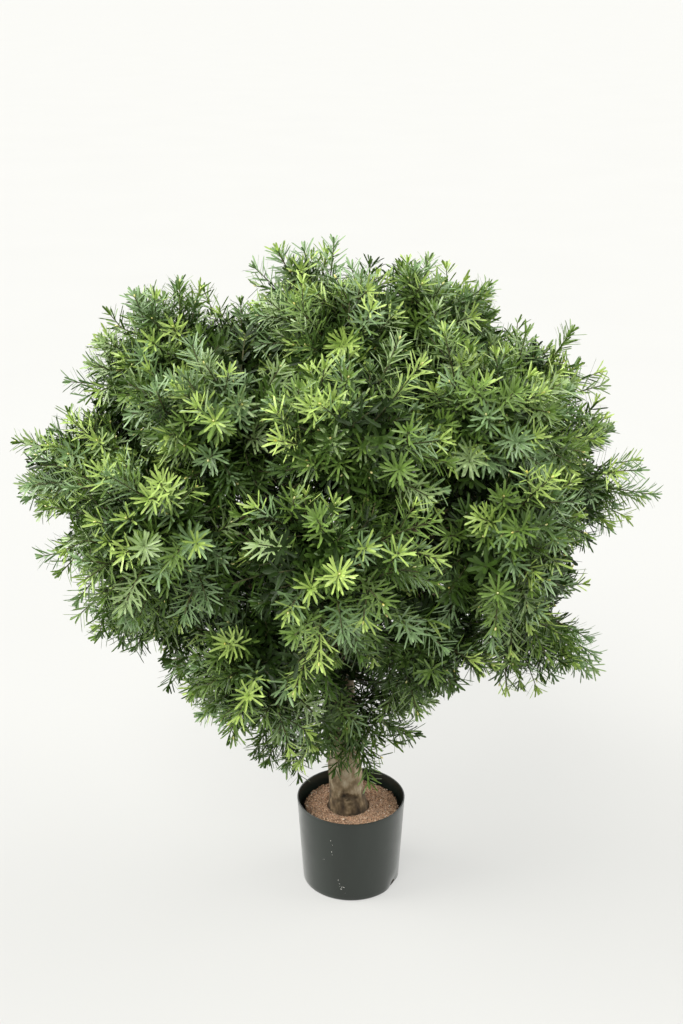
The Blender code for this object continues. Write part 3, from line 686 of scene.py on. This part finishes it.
def trunk_radius(height):
    thinning = (TRUNK_RADIUS - TRUNK_TIP_RADIUS) * trunk_share(height) ** TRUNK_TAPER
    flare = TRUNK_FLARE * math.exp(-max(height - TRUNK_FOOT, 0.0) / FLARE_HEIGHT)
    return TRUNK_RADIUS - thinning + flare


KNOT = namedtuple("Knot", "turn height wide tall")(math.radians(-80), 0.0320, 0.0112, 0.0056)
LEDGE_HEIGHT = 0.0235
STAIN_SHADE_HEIGHT = 0.0052          # a dark seam where the trunk leaves the fill: soil stain and painted shade
DARK_FOOT_HEIGHT = 0.045             # the bark is darker up to here


def foot_relief(turn, height):
    """Relief and tone near the ground: a swollen foot with a dark seam over it, a dark knot, soil stain
    and painted shade where the trunk leaves the fill, and darker bark low down.
    """
    rise = height - TRUNK_FOOT
    waver = noise_round(turn, 1.4, 4.0)
    above = (rise - LEDGE_HEIGHT - 0.006 * waver) / 0.0020
    swollen = 1.0 / (1.0 + math.exp(min(above, 30.0)))
    patchy = max(0.2, 0.7 + 1.5 * noise_round(turn, 3.2, 9.0))
    seam = patchy * math.exp(-(above - 0.7) ** 2)
    across = turned_from(KNOT.turn, turn) * TRUNK_RADIUS / KNOT.wide
    up = (rise - KNOT.height) / KNOT.tall
    up += 0.35 * across
    far = math.hypot(across, up) + 0.75 * noise.noise(Vector((2.4 * across, 2.4 * up, 2.0)))
    pit = math.exp(-max(far, 0.0) ** 6)
    stain_and_shade = math.exp(-((rise - STAIN_SHADE_HEIGHT - 0.0012 * waver) / 0.0017) ** 4)
    dark_foot = max(1.0 - rise / DARK_FOOT_HEIGHT, 0.0)
    # the knot's pit is darkened for its own darker wood and for painted shade in its hollow
    tone = -0.25 * swollen - 0.9 * seam - 2.2 * pit - 2.4 * stain_and_shade - 0.9 * dark_foot
    return swollen - 0.8 * seam - 2.2 * pit, tone


def trunk_relief(turn, height):
    bark = bark_relief(turn, height, 0.0)
    relief, tone = foot_relief(turn, height)
    return bark + relief, bark + tone


def bark_relief(turn, height, girth):
    """Relief from -1 in the hollows to 1 on the ridges: long flutes, then finer cracks."""
    flutes = noise_round(turn, 2.1, 11 * height + girth)
    ridges = noise_round(turn, 5.5, 26 * height + girth)
    cracks = abs(noise_round(turn, 12, 60 * height + girth))
    return 0.75 * flutes + 0.45 * ridges - 0.5 * cracks + 0.1


def bark_tube(stations, sides, relief_of):
    """Points, quads, caps and tones of a closed tube through (centre, direction, radius, height)."""
    points, tones = [], []
    side = None
    for centre, direction, radius, height in stations:
        guide = side if side else Vector((1.0, 0.0, 0.0))
        if abs(guide.dot(direction)) > 0.95:
            guide = Vector((0.0, 1.0, 0.0))
        side = (guide - direction * guide.dot(direction)).normalized()
        for i in range(sides):
            turn = 2 * math.pi * i / sides
            relief, tone = relief_of(turn, height)
            out = around(direction, side, turn)
            points.append(centre + out * (radius + relief * BARK_RELIEF * radius / TRUNK_RADIUS))
            tones.append(tone)
    points += [stations[0][0], stations[-1][0]]
    tones += [0.0, 0.0]
    last = (len(stations) - 1) * sides
    caps = np.concatenate([
        fan(0, sides, len(points) - 2, turned=True), fan(last, sides, len(points) - 1),
    ])
    return np.array(points), grid_faces(len(stations), sides), caps, np.array(tones)


def bark_piece(name, parts, finish, replaced):
    """Join tubes into one piece that carries its tone as an attribute for the colour."""
    points = np.concatenate([part[0] for part in parts])
    offsets = np.cumsum([0] + [len(part[0]) for part in parts[:-1]])
    quads = np.concatenate([part[1] + offset for part, offset in zip(parts, offsets)])
    caps = np.concatenate([part[2] + offset for part, offset in zip(parts, offsets)])
    mesh = array_mesh(name, points, [quads, caps], [finish], smooth=True)
    tone = mesh.attributes.new("tone", "FLOAT", "POINT")
    values = np.concatenate([part[3] for part in parts])
    tone.data.foreach_set("value", np.clip(0.5 + 0.42 * values, 0.0, 1.0).astype(np.float32))
    return add_piece(name, mesh, replaced)


def build_trunk():
    shares = (np.arange(TRUNK_RINGS) / (TRUNK_RINGS - 1)) ** TRUNK_CROWDING
    heights = TRUNK_FOOT + (TRUNK_TOP - TRUNK_FOOT) * shares
    stations = [(trunk_centre(h), Vector((0.0, 0.0, 1.0)), trunk_radius(h), h) for h in heights]
    part = bark_tube(stations, TRUNK_SIDES, trunk_relief)
    bark_piece("trunk_bark", [part], bark_material("bark_trunk"), ["trunk"])


def bough_line(mass):
    """Stations of one bough, from inside the trunk to its mass, as in the part's source."""
    start = trunk_centre(mass.bough_height)
    end = mass.entry
    span = 0.9 * (end - start).length
    outward = Vector((mass.axis.x, mass.axis.y, 0.0)).normalized()
    leave = (outward + Vector((0.0, 0.0, BOUGH_RISE))).normalized() * span
    arrive = mass.axis * span
    points = []
    for i in range(BOUGH_STATIONS):
        share = 0.93 * i / (BOUGH_STATIONS - 1)
        rest = 1.0 - share
        point = start * (1 + 2 * share) * rest ** 2 + end * (3 - 2 * share) * share ** 2
        points.append(point + leave * share * rest ** 2 - arrive * rest * share ** 2)
    points.append(end - mass.axis * BOUGH_LAST)
    points.append(end)
    taper = (BOUGH_ROOT_RADIUS - BOUGH_TIP_RADIUS) / (len(points) - 1)
    return points, [BOUGH_ROOT_RADIUS - taper * i for i in range(len(points))]


def bough_tube(number, mass):
    points, radii = bough_line(mass)
    stations = []

    def relief_of(turn, height):
        return [bark_relief(turn, height, 3.0 * number)] * 2

    for i in range(len(points) - 1):
        for step in range(BOUGH_SPLITS):
            share = step / BOUGH_SPLITS
            before = points[max(i - 1, 0)]
            ahead = points[min(i + 2, len(points) - 1)]
            direction = (points[i + 1] - before).lerp(ahead - points[i], share).normalized()
            centre = points[i].lerp(points[i + 1], share)
            radius = radii[i] + (radii[i + 1] - radii[i]) * share
            stations.append((centre, direction, radius, 0.02 * len(stations)))
    stations.append((points[-1], mass.axis, radii[-1], 0.02 * len(stations)))
    return bark_tube(stations, BOUGH_SIDES, relief_of)


def build_boughs(masses):
    borne = [mass for mass in masses if mass.bough_height is not None]
    parts = [bough_tube(number, mass) for number, mass in enumerate(borne)]
    names = ["bough_" + mass.name for mass in borne]
    bark_piece("boughs_bark", parts, bark_material("bark_boughs"), names)


# ---------------------------------------------------------------- masses: the source's rule again
class Mass:
    """One foliage mass: centre, reach, axis away from the crown's heart, and where its bough enters."""

    def __init__(self, tier, number):
        self.name = f"{tier.name}_{number}"
        self.tier = tier.name
        rise, further, longer = NUDGES.get(self.name, (0.0, 0.0, 0.0))
        turn = math.radians(tier.first + 360.0 * (number - 1) / tier.count)
        out = tier.out + further
        x, y = tier.axis_x + out * math.cos(turn), out * math.sin(turn)
        self.centre = Vector((x, y, tier.height + rise))
        self.reach = tier.reach + longer
        self.axis = (self.centre - trunk_centre(tier.heart)).normalized()
        self.entry = self.centre - self.axis * self.reach * BOUGH_END
        self.bough_height = None
        if tier.bough:
            self.bough_height = tier.bough + BOUGH_STAGGER * (0.5 if number % 2 else -0.5)
        self.planes = []
        self.leaders = []
        self.feathers = []
        self.slim = SLIM.get(self.name, 1.0)


def all_masses():
    masses = [Mass(tier, number) for tier in TIERS for number in range(1, tier.count + 1)]
    for mass in masses:
        mass.planes = cell_planes(mass, masses)
    for tip in (Vector((x, 0.0, height)) for x, height in LEADER_TIPS):
        owner_of(tip, masses).leaders.append(tip)
    for tip in map(Vector, FEATHER_TIPS):
        owner_of(tip, masses).feathers.append(tip)
    return masses


def owner_of(tip, masses):
    return min(masses, key=lambda mass: (tip - mass.centre).length_squared - mass.reach ** 2)


def cell_planes(mass, masses):
    """The planes (normal, offset) of a mass's cell: a point inside has normal . point < offset."""
    planes = []
    for other in masses:
        if other is mass:
            continue
        apart = other.centre - mass.centre
        distance = apart.length
        middle = (distance ** 2 + mass.reach ** 2 - other.reach ** 2) / (2 * distance)
        normal = apart / distance
        planes.append((normal, normal.dot(mass.centre) + middle - CELL_MARGIN))
    lowest = max(mass.centre.z - mass.reach, TRUNK_FOOT)
    if lowest < TRUNK_TOP:
        beside = trunk_centre(mass.centre.z)
        inward = Vector((beside.x - mass.centre.x, beside.y - mass.centre.y, 0.0)).normalized()
        planes.append((inward, inward.dot(beside) - trunk_radius(lowest) - 2 * LIMB_MARGIN))
    planes.append((Vector((0.0, 0.0, -1.0)), -(POT_HEIGHT + 2 * LIMB_MARGIN)))
    return planes


def room(mass, origin, direction):
    """How far one can go from the origin before leaving the cell."""
    far = 10.0
    for normal, offset in mass.planes:
        pace = normal.dot(direction)
        if pace > 1e-6:
            far = min(far, (offset - normal.dot(origin)) / pace)
    return far


def reach_along(mass, direction):
    """Reach of a mass in one direction."""
    return mass.reach * (1.0 + BREADTH * math.sin(direction.angle(mass.axis)) ** 2)


def body_share(mass, direction):
    """What is left of the reach of the body in one direction: outward it is less than sideways."""
    return 1.0 - (1.0 - mass.slim) * max(direction.dot(mass.axis), 0.0) ** 2


def near_lines(point, places, share):
    """Whether a point is within a share of the half width of a line through the focus and a place."""
    away = point - VALLEY_FOCUS
    for x, height, half_width in places:
        line = Vector((x, 0.0, height)) - VALLEY_FOCUS
        if away.cross(line).length < share * half_width * line.length:
            return True
    return False


def in_valley(point):
    return near_lines(point, VALLEYS, VALLEY_SHOOTS)


def drawn_back(twig):
    """The twig, or only its first stretch where its tip is in a hollow in the front of the crown, then
    given painted shade as a hidden one.
    """
    if not twig.outer or twig.tip.y > 0.0 or not near_lines(twig.tip, HOLLOWS, 1.0):
        return twig
    bend = twig.start.lerp(twig.bend, HOLLOW_KEEPS)
    return twig._replace(bend=bend, tip=point_on(twig, HOLLOW_KEEPS), outer=False, lit=0.0)


def meets_valley(start, end):
    return any(in_valley(start.lerp(end, share)) for share in (0.4, 0.6, 0.8, 1.0))


def out_of_valleys(origin, direction, length):
    """The length, drawn back until nothing along it is in a valley."""
    while meets_valley(origin, origin + direction * length):
        length *= 0.95
    return length


def perpendicular(direction):
    guide = Vector((0.0, 0.0, 1.0)) if abs(direction.z) < 0.9 else Vector((1.0, 0.0, 0.0))
    return direction.cross(guide).normalized()


def stem_line(mass):
    if mass.bough_height is None:
        return trunk_centre(mass.entry.z), mass.centre
    return mass.entry + mass.axis * GAP, mass.centre


# ---------------------------------------------------------------- masses: shoots and twigs
# a twig bends from its start over the bend point to its tip; it bears needles from the share leafy
# on, and lit is 0 for one whose tip lies back in the crown and 1 for one that reaches right out
Twig = namedtuple("Twig", "start bend tip radius leafy outer lit spacing", defaults=(NEEDLE_SPACING,))


def shoot_aims(mass, chance):
    """Where each shoot leaves the stem and where its tip should be: a spiral over the outer side."""
    start, end = stem_line(mass)
    side = perpendicular(mass.axis)
    start_turn = chance.uniform(0.0, 2 * math.pi)
    count = round(mass.reach / (SPARSE_SHARE if mass.bough_height is None else SHOOT_SHARE))
    aims = [(start.lerp(end, 0.9), tip) for tip in mass.leaders + mass.feathers]
    for i in range(count):
        lean = math.acos(1.0 - (i + 0.5) / count * (1.0 - math.cos(SHOOT_SPREAD)))
        direction = leaning(mass.axis, around(mass.axis, side, start_turn + i * GOLDEN), lean)
        if any(direction.angle(leader - mass.centre) < LEADER_ROOM for leader in mass.leaders):
            continue
        crowded = any(direction.angle(tip - mass.centre) < FEATHER_ROOM for tip in mass.feathers)
        if chance.random() < SPIKES and not crowded:
            reach = chance.uniform(*SPIKE_REACH)
        else:
            reach = chance.uniform(*SHOOT_REACH) * body_share(mass, direction)
        tip = mass.centre + direction * reach_along(mass, direction) * reach
        aims.append((start.lerp(end, 1.0 - 0.55 * lean / SHOOT_SPREAD), tip))
    return aims


def bowed(start, tip, chance, lift):
    """The bend point of a twig that bows a little to one side, and up in its first half by lift."""
    middle = start.lerp(tip, 0.5)
    length = (tip - start).length
    sideways = perpendicular((tip - start).normalized())
    return middle + sideways * length * chance.uniform(-BOW, BOW) + Vector((0.0, 0.0, lift * length))


def reach_share(mass, point):
    out = point - mass.centre
    return out.length / reach_along(mass, out.normalized())


def lit_share(mass, tip):
    """How likely the spray of a twig with its tip here takes the lighter greens of painted light."""
    rise = (tip.z - LIT_HEIGHTS[0]) / (LIT_HEIGHTS[1] - LIT_HEIGHTS[0])
    shift = LIT_SHIFT[0] + (LIT_SHIFT[1] - LIT_SHIFT[0]) * rise
    return (reach_share(mass, tip) - LIT_REACH[0]) / (LIT_REACH[1] - LIT_REACH[0]) + shift


def leaning(axis, ring, lean):
    return axis * math.cos(lean) + ring * math.sin(lean)


def point_on(twig, share):
    return twig.start.lerp(twig.bend, share).lerp(twig.bend.lerp(twig.tip, share), share)


def grow_shoots(mass, chance):
    """The main shoots of a mass and the side twigs on them."""
    twigs = []
    for origin, tip in shoot_aims(mass, chance):
        direction = (tip - origin).normalized()
        wanted = (tip - origin).length
        length = min(wanted, room(mass, origin, direction))
        lit = lit_share(mass, origin + direction * length)
        length = out_of_valleys(origin, direction, length) - END_ROOM
        outer = length > INNER_SHARE * wanted
        if length < SHOOT_LEAST or (not outer and chance.random() > INNER_KEPT):
            continue
        end = origin + direction * length
        spacing = LONE_SPACING if reach_share(mass, end) > LONE_REACH else NEEDLE_SPACING
        bend = bowed(origin, end, chance, SHOOT_LIFT)
        shoot = Twig(origin, bend, end, SHOOT_RADIUS, SHOOT_LEAFY, outer, lit, spacing)
        twigs.append(shoot)
        twigs += side_twigs(mass, shoot, chance)
    return twigs + fillers(mass, chance)


def fillers(mass, chance):
    """Short dark shoots all round inside the mass, towards the heart of the crown too."""
    start, end = stem_line(mass)
    found = []
    for i in range(FILLERS if mass.bough_height is not None else FILLERS // 4):
        level = 1.0 - 2.0 * (i + 0.5) / FILLERS
        turn = i * GOLDEN
        flat = math.sqrt(1.0 - level ** 2)
        direction = Vector((flat * math.cos(turn), flat * math.sin(turn), level))
        origin = start.lerp(end, chance.uniform(0.35, 1.0))
        wanted = mass.reach * chance.uniform(*FILLER_REACH) * body_share(mass, direction)
        if direction.dot(mass.axis) < INWARD:
            wanted *= FILLER_INWARD
        length = min(wanted, room(mass, origin, direction))
        length = out_of_valleys(origin, direction, length)
        tip = origin + direction * length
        if length > SHOOT_LEAST:
            bend = bowed(origin, tip, chance, FILLER_LIFT)
            found.append(Twig(origin, bend, tip, TWIG_RADIUS, FILLER_LEAFY, False, 0.0))
    return found


def side_twigs(mass, shoot, chance):
    """Side twigs that leave an outer shoot on alternate sides."""
    found = []
    if not shoot.outer:
        return found
    direction = (shoot.tip - shoot.start).normalized()
    length = (shoot.tip - shoot.start).length
    side = perpendicular(direction)
    turn = chance.uniform(0.0, 2 * math.pi)
    for share in SIDE_PLACES:
        turn += math.radians(180) + chance.uniform(-SIDE_TURN, SIDE_TURN)
        if chance.random() > SIDE_ODDS:
            continue
        lean = math.radians(chance.uniform(*SIDE_LEAN))
        way = leaning(direction, around(direction, side, turn), lean)
        start = point_on(shoot, share)
        span = length * (1.0 - share) * chance.uniform(*SIDE_SPAN) + SIDE_EXTRA
        out = start + way * span - mass.centre
        outward = out.normalized()
        limit = reach_along(mass, outward) * SIDE_REACH * body_share(mass, outward)
        if out.length > limit:
            span -= out.length - limit
        span = min(span, room(mass, start, way) + SIDE_OUTSIDE)
        lit = lit_share(mass, start + way * span)
        span = out_of_valleys(start, way, span)
        if span > SIDE_LEAST:
            tip = start + way * span
            bend = bowed(start, tip, chance, SIDE_LIFT)
            found.append(Twig(start, bend, tip, TWIG_RADIUS, SIDE_LEAFY, True, lit))
    return found


# ---------------------------------------------------------------- needles
# outline of a needle: across, along, and up, in shares of its width, length and width; a blunt
# strap whose middle line lies lower than its edges
NEEDLE_OUTLINE = np.array([
    (0.0, 0.0, 0.0), (-0.44, 0.22, 0.0), (0.44, 0.22, 0.0), (0.0, 0.52, -0.13),
    (-0.46, 0.87, 0.0), (0.46, 0.87, 0.0), (0.0, 1.0, -0.03),
])
NEEDLE_TRIANGLES = np.array([(0, 3, 1), (0, 2, 3)])
NEEDLE_QUADS = np.array([(1, 3, 6, 4), (3, 2, 5, 6)])
NEEDLE_DROOP = 0.08             # the tip bends back by this share of the length

Sprays = namedtuple("Sprays", "roots ways ups lengths widths finishes")


def unit(rows):
    return rows / np.linalg.norm(rows, axis=1, keepdims=True)


def twig_curve(twig, shares):
    """Points and directions along a twig."""
    start, bend, tip = (np.array(point) for point in (twig.start, twig.bend, twig.tip))
    t = shares[:, None]
    points = start * (1 - t) ** 2 + 2 * bend * t * (1 - t) + tip * t ** 2
    return points, unit((bend - start) * (1 - t) + (tip - bend) * t)


# lit and shaded sprays take lighter and darker greens: painted light and painted shade, the deep green
# painted shade inside the crown
GREENS = (                      # name, colour and gloss
    ("needle_deep", (0.017, 0.037, 0.006), 0.20),
    ("needle_dark", (0.052, 0.102, 0.016), 0.32),
    ("needle_green", (0.140, 0.235, 0.042), 0.48),
    ("needle_cool", (0.182, 0.296, 0.118), 0.65),
    ("needle_light", (0.285, 0.398, 0.158), 0.65),
    ("needle_spring", (0.340, 0.475, 0.110), 0.5),
    ("needle_fresh", (0.445, 0.595, 0.150), 0.5),
)
DEEP, DARK, GREEN, COOL, LIGHT, SPRING, FRESH = range(len(GREENS))
LIT_ODDS = ((DARK, 0.09), (GREEN, 0.27), (COOL, 0.36), (LIGHT, 0.16), (SPRING, 0.08), (FRESH, 0.04))
SHADED_ODDS = ((DARK, 0.60), (GREEN, 0.28), (COOL, 0.12))
DEEP_ODDS = 0.7                 # share of the hidden sprays that are darkest, in painted shade
BASE_SHADE_STEPS = ((0.50, GREEN), (0.30, DARK), (0.14, DEEP))    # painted shade near a twig's foot: up to this share of it, greens no lighter
FRESH_TIPS = 0.28               # share of the light sprays whose last needles are fresh
FRESH_NEEDLES = 7
FRESH_ODDS = 0.25               # and of these, share of the freshest


def spray_of(twig, chance, dice):
    """The needles of one twig: crosswise pairs that lean forward, and a tuft at the tip."""
    length = (twig.tip - twig.start).length
    spacing = twig.spacing if twig.outer else INNER_SPACING
    count = max(int(length * (1 - twig.leafy) / spacing), 6)
    tuft = TUFTS[0] if twig.outer else TUFTS[1]
    total = count + tuft
    shares = np.concatenate([np.linspace(twig.leafy, 0.985, count), np.full(tuft, 0.992)])
    ripe = (shares - twig.leafy) / (1 - twig.leafy)
    points, ways = twig_curve(twig, shares)
    guide = np.array(perpendicular((twig.tip - twig.start).normalized()))
    side = unit(np.cross(ways, guide))
    up = np.cross(ways, side)
    place = np.arange(total)
    turn = dice.uniform(0, 2 * math.pi) + PAIR_TWIST * (place // 2) + math.pi * (place % 2)
    turn += dice.normal(0, 0.10, total)
    ring = side * np.cos(turn)[:, None] + up * np.sin(turn)[:, None]
    lean = np.radians(LEAN_LOW + (LEAN_HIGH - LEAN_LOW) * ripe ** 1.5) + dice.normal(0, 0.07, total)
    lean[count:] = np.radians(dice.uniform(*TUFT_LEAN, tuft))
    cos, sin = np.cos(lean)[:, None], np.sin(lean)[:, None]
    aim = ways * cos + ring * sin
    face = ways * sin - ring * cos
    roll = dice.normal(0, 0.16, total)[:, None]
    face = face * np.cos(roll) + np.cross(aim, face) * np.sin(roll)
    size = NEEDLE_LENGTH * (0.82 + 0.24 * np.sin(math.pi * np.clip(ripe * 0.9 + 0.05, 0, 1)))
    size[count:] *= TUFT_SIZE
    size *= dice.uniform(*LENGTH_VARIES, total)
    width = NEEDLE_WIDTH * dice.uniform(*WIDTH_VARIES, total) * (1.0 if twig.outer else INNER_WIDER)
    # a lit spray takes the lighter greens, painted light; a shaded one the darker greens, painted shade
    lit = chance.random() < twig.lit
    finish = np.full(total, pick(LIT_ODDS if lit else SHADED_ODDS, chance))
    # hidden sprays inside the mass take the dark and deep greens: painted shade
    if not twig.outer:
        finish[:] = DEEP if chance.random() < DEEP_ODDS else DARK
    for end, greenest in BASE_SHADE_STEPS:
        finish[ripe < end] = np.minimum(finish[ripe < end], greenest)
    if lit and twig.outer and chance.random() < FRESH_TIPS:
        finish[count - FRESH_NEEDLES:] = FRESH if chance.random() < FRESH_ODDS else SPRING
    return Sprays(points + ring * 0.4 * TWIG_RADIUS, aim, face, size, width, finish)


def pick(odds, chance):
    draw = chance.random()
    for value, share in odds:
        draw -= share
        if draw < 0:
            return value
    return odds[-1][0]


def kept(mass, sprays, dice):
    """Which needles have room: not far past the cell's walls, off the trunk, above the pot."""
    tips = sprays.roots + sprays.ways * sprays.lengths[:, None]
    good = tips[:, 2] > POT_HEIGHT - 0.02
    for normal, offset in mass.planes[:-1]:
        good &= tips @ np.array(normal) < offset + NEEDLE_OUTSIDE
    away = tips - np.array(VALLEY_FOCUS)
    open_share = dice.uniform(*VALLEY_NEEDLES, len(tips))
    for x, height, half_width in VALLEYS:
        line = np.array((Vector((x, 0.0, height)) - VALLEY_FOCUS).normalized())
        good &= np.linalg.norm(np.cross(away, line), axis=1) > open_share * half_width
    for points in (tips, (tips + sprays.roots) / 2):
        axis = np.array([(*trunk_centre(z).xy, trunk_radius(z)) for z in points[:, 2]])
        x, y = points[:, 0] - axis[:, 0], points[:, 1] - axis[:, 1]
        good &= np.hypot(x, y) > axis[:, 2] + LIMB_MARGIN
    return good


def needle_mesh(name, sprays, finishes):
    side = np.cross(sprays.ways, sprays.ups)
    across = NEEDLE_OUTLINE[:, 0][None, :, None] * (side * sprays.widths[:, None])[:, None]
    along = NEEDLE_OUTLINE[:, 1][None, :, None] * (sprays.ways * sprays.lengths[:, None])[:, None]
    lift = NEEDLE_OUTLINE[:, 2][None] * sprays.widths[:, None]
    lift = lift - NEEDLE_DROOP * sprays.lengths[:, None] * NEEDLE_OUTLINE[:, 1][None] ** 2
    points = sprays.roots[:, None] + across + along + lift[..., None] * sprays.ups[:, None]
    first = np.arange(len(points))[:, None, None] * len(NEEDLE_OUTLINE)
    triangles = (first + NEEDLE_TRIANGLES[None]).reshape(-1, 3)
    quads = (first + NEEDLE_QUADS[None]).reshape(-1, 4)
    faces = (NEEDLE_TRIANGLES, NEEDLE_QUADS)
    finish = np.concatenate([np.repeat(sprays.finishes, len(kind)) for kind in faces])
    return array_mesh(name, points.reshape(-1, 3), [triangles, quads], finishes, finish)


def join_sprays(sprays):
    return Sprays(*(np.concatenate(field) for field in zip(*sprays)))


# ---------------------------------------------------------------- twigs and buds
def twig_points(twig):
    """The rings of a three-sided tube along a twig."""
    tip_radius = STEM_TIP_RADIUS if twig.radius == STEM_RADIUS else TWIG_TIP_RADIUS
    shares = np.linspace(0.0, 1.0, TWIG_STEPS + 1)
    points, ways = twig_curve(twig, shares)
    side = unit(np.cross(ways, np.array(perpendicular((twig.tip - twig.start).normalized()))))
    up = np.cross(ways, side)
    radii = twig.radius + (tip_radius - twig.radius) * shares
    turns = 2 * math.pi * np.arange(TWIG_SIDES) / TWIG_SIDES
    rings = side[:, None] * np.cos(turns)[None, :, None] + up[:, None] * np.sin(turns)[None, :, None]
    return (points[:, None] + rings * radii[:, None, None]).reshape(-1, 3)


def twig_mesh(name, twigs, finish):
    size = (TWIG_STEPS + 1) * TWIG_SIDES
    quads = grid_faces(TWIG_STEPS + 1, TWIG_SIDES)
    ends = np.array([(2, 1, 0), tuple(range(size - TWIG_SIDES, size))])
    first = np.arange(len(twigs))[:, None, None] * size
    faces = [(first + quads[None]).reshape(-1, 4), (first + ends[None]).reshape(-1, 3)]
    points = np.concatenate([twig_points(twig) for twig in twigs])
    return array_mesh(name, points, faces, [finish], smooth=True)


def bud_mesh(name, twigs, finish):
    """A pointed bud on the tip of each of these twigs."""
    sides = BUD_SIDES
    points, triangles, quads = [], [], []
    for twig in twigs:
        way = (twig.tip - twig.bend).normalized()
        side = perpendicular(way)
        first = len(points)
        for along, wide in BUD_OUTLINE:
            for i in range(sides):
                out = around(way, side, 2 * math.pi * i / sides)
                points.append(twig.tip + way * along * BUD_LENGTH + out * wide * BUD_WIDTH / 2)
        points.append(twig.tip + way * BUD_LENGTH)
        last = first + (len(BUD_OUTLINE) - 1) * sides
        for i in range(sides):
            after = (i + 1) % sides
            for ring in range(len(BUD_OUTLINE) - 1):
                low = first + ring * sides
                quads.append((low + i, low + after, low + sides + after, low + sides + i))
            triangles.append((last + i, last + after, len(points) - 1))
    faces = [np.array(quads), np.array(triangles)]
    return array_mesh(name, np.array(points), faces, [finish], smooth=True)


# ---------------------------------------------------------------- the crown
def build_crown(masses):
    greens = [needle_material(*green) for green in GREENS]
    wood, cream = twig_material(), bud_material()
    twigs_of, buds_of = {}, {}
    for mass in masses:
        chance = random.Random(f"{SEED}_{mass.name}")
        dice = np.random.default_rng([SEED, sum(map(ord, mass.name)), int(mass.centre.z * 1000)])
        twigs = [drawn_back(twig) for twig in grow_shoots(mass, chance)]
        sprays = join_sprays([spray_of(twig, chance, dice) for twig in twigs])
        good = kept(mass, sprays, dice)
        sprays = Sprays(*(field[good] for field in sprays))
        add_piece("needles_" + mass.name, needle_mesh("needles_" + mass.name, sprays, greens),
                  ["foliage_" + mass.name])
        start, end = stem_line(mass)
        stem = Twig(start, start.lerp(end, 0.5), end, STEM_RADIUS, 1.0, False, 0.0)
        twigs_of.setdefault(mass.tier, []).extend([stem] + twigs)
        buds_of.setdefault(mass.tier, []).extend(
            twig for twig in twigs if twig.outer and chance.random() < BUD_ODDS)
    for tier, twigs in twigs_of.items():
        add_piece("twigs_" + tier, twig_mesh("twigs_" + tier, twigs, wood), None)
        buds = bud_mesh("buds_" + tier, buds_of[tier], cream)
        add_piece("buds_" + tier, buds, None)


# ---------------------------------------------------------------- floor, light and camera
FLOOR_HALF = 200.0
FLOOR_COLOURS = ((0.3, (0.236, 0.237, 0.230)), (0.7, (0.242, 0.243, 0.236)))
FLOOR_GLOW = 0.45               # the floor is lit from below as well, which softens the shadow on it
SKY_STRENGTH = (0.42, 1.30)     # in front of the plant, and behind it
SUNS = (                        # name, where it shines from, strength, width in degrees
    ("key", (-0.36, -0.95, 1.22), 1.8, 30),
    ("left", (-1.30, -0.05, 0.90), 2.7, 40),
    ("right", (1.25, 0.20, 0.80), 1.5, 44),
)


def build_floor():
    mesh = bpy.data.meshes.new("floor")
    corners = [(x * FLOOR_HALF, y * FLOOR_HALF, 0) for x, y in ((-1, -1), (1, -1), (1, 1), (-1, 1))]
    mesh.from_pydata(corners, [], [(0, 1, 2, 3)])
    made, tree, shader = blank_material("floor_paper", FLOOR_COLOURS[0][1], 1.0)
    shader.inputs["Specular IOR Level"].default_value = 0.0
    shader.inputs["Emission Color"].default_value = (1.0, 1.0, 0.98, 1.0)
    shader.inputs["Emission Strength"].default_value = FLOOR_GLOW
    tree.links.new(ramp_node(tree, noise_node(tree, 1.5), FLOOR_COLOURS), shader.inputs["Base Color"])
    mesh.materials.append(made)
    floor = bpy.data.objects.new("floor", mesh)
    bpy.context.scene.collection.objects.link(floor)


def build_light():
    """A pale surround, darker in front, a wide soft key from above on the left, and two side lights."""
    world = bpy.data.worlds.new("studio")
    world.use_nodes = True
    tree = world.node_tree
    sky = tree.nodes["Background"]
    sky.inputs["Color"].default_value = (1.0, 1.0, 0.985, 1.0)
    place = tree.nodes.new("ShaderNodeTexCoord")
    split = tree.nodes.new("ShaderNodeSeparateXYZ")
    tree.links.new(place.outputs["Generated"], split.inputs["Vector"])
    strength = range_node(tree, split.outputs["Y"], *SKY_STRENGTH, start=-0.9, end=0.3)
    tree.links.new(strength, sky.inputs["Strength"])
    bpy.context.scene.world = world
    for name, place, strength, width in SUNS:
        light = bpy.data.lights.new(name, "SUN")
        light.energy = strength
        light.angle = math.radians(width)
        light.color = (1.0, 0.985, 0.95)
        lamp = bpy.data.objects.new(name, light)
        bpy.context.scene.collection.objects.link(lamp)
        lamp.rotation_euler = (-Vector(place)).to_track_quat("-Z", "Y").to_euler()


CAMERA_PLACE = (-0.015, -1.948, 1.358)
CAMERA_PITCH = math.radians(90.0 - 20.66)
LENS = 50.0
SENSOR = 36.0


def build_camera():
    camera = bpy.data.cameras.new("photo_view")
    camera.lens = LENS
    camera.sensor_fit = "VERTICAL"
    camera.sensor_height = SENSOR
    camera.clip_end = 200.0
    eye = bpy.data.objects.new("photo_view", camera)
    bpy.context.scene.collection.objects.link(eye)
    eye.location = CAMERA_PLACE
    eye.rotation_euler = (CAMERA_PITCH, 0.0, 0.0)
    bpy.context.scene.camera = eye


# ---------------------------------------------------------------- the whole scene
masses = all_masses()
build_pot()
build_fill()
build_trunk()
build_boughs(masses)
build_crown(masses)
build_floor()
build_light()
build_camera()
bpy.context.scene.view_settings.view_transform = "Standard"
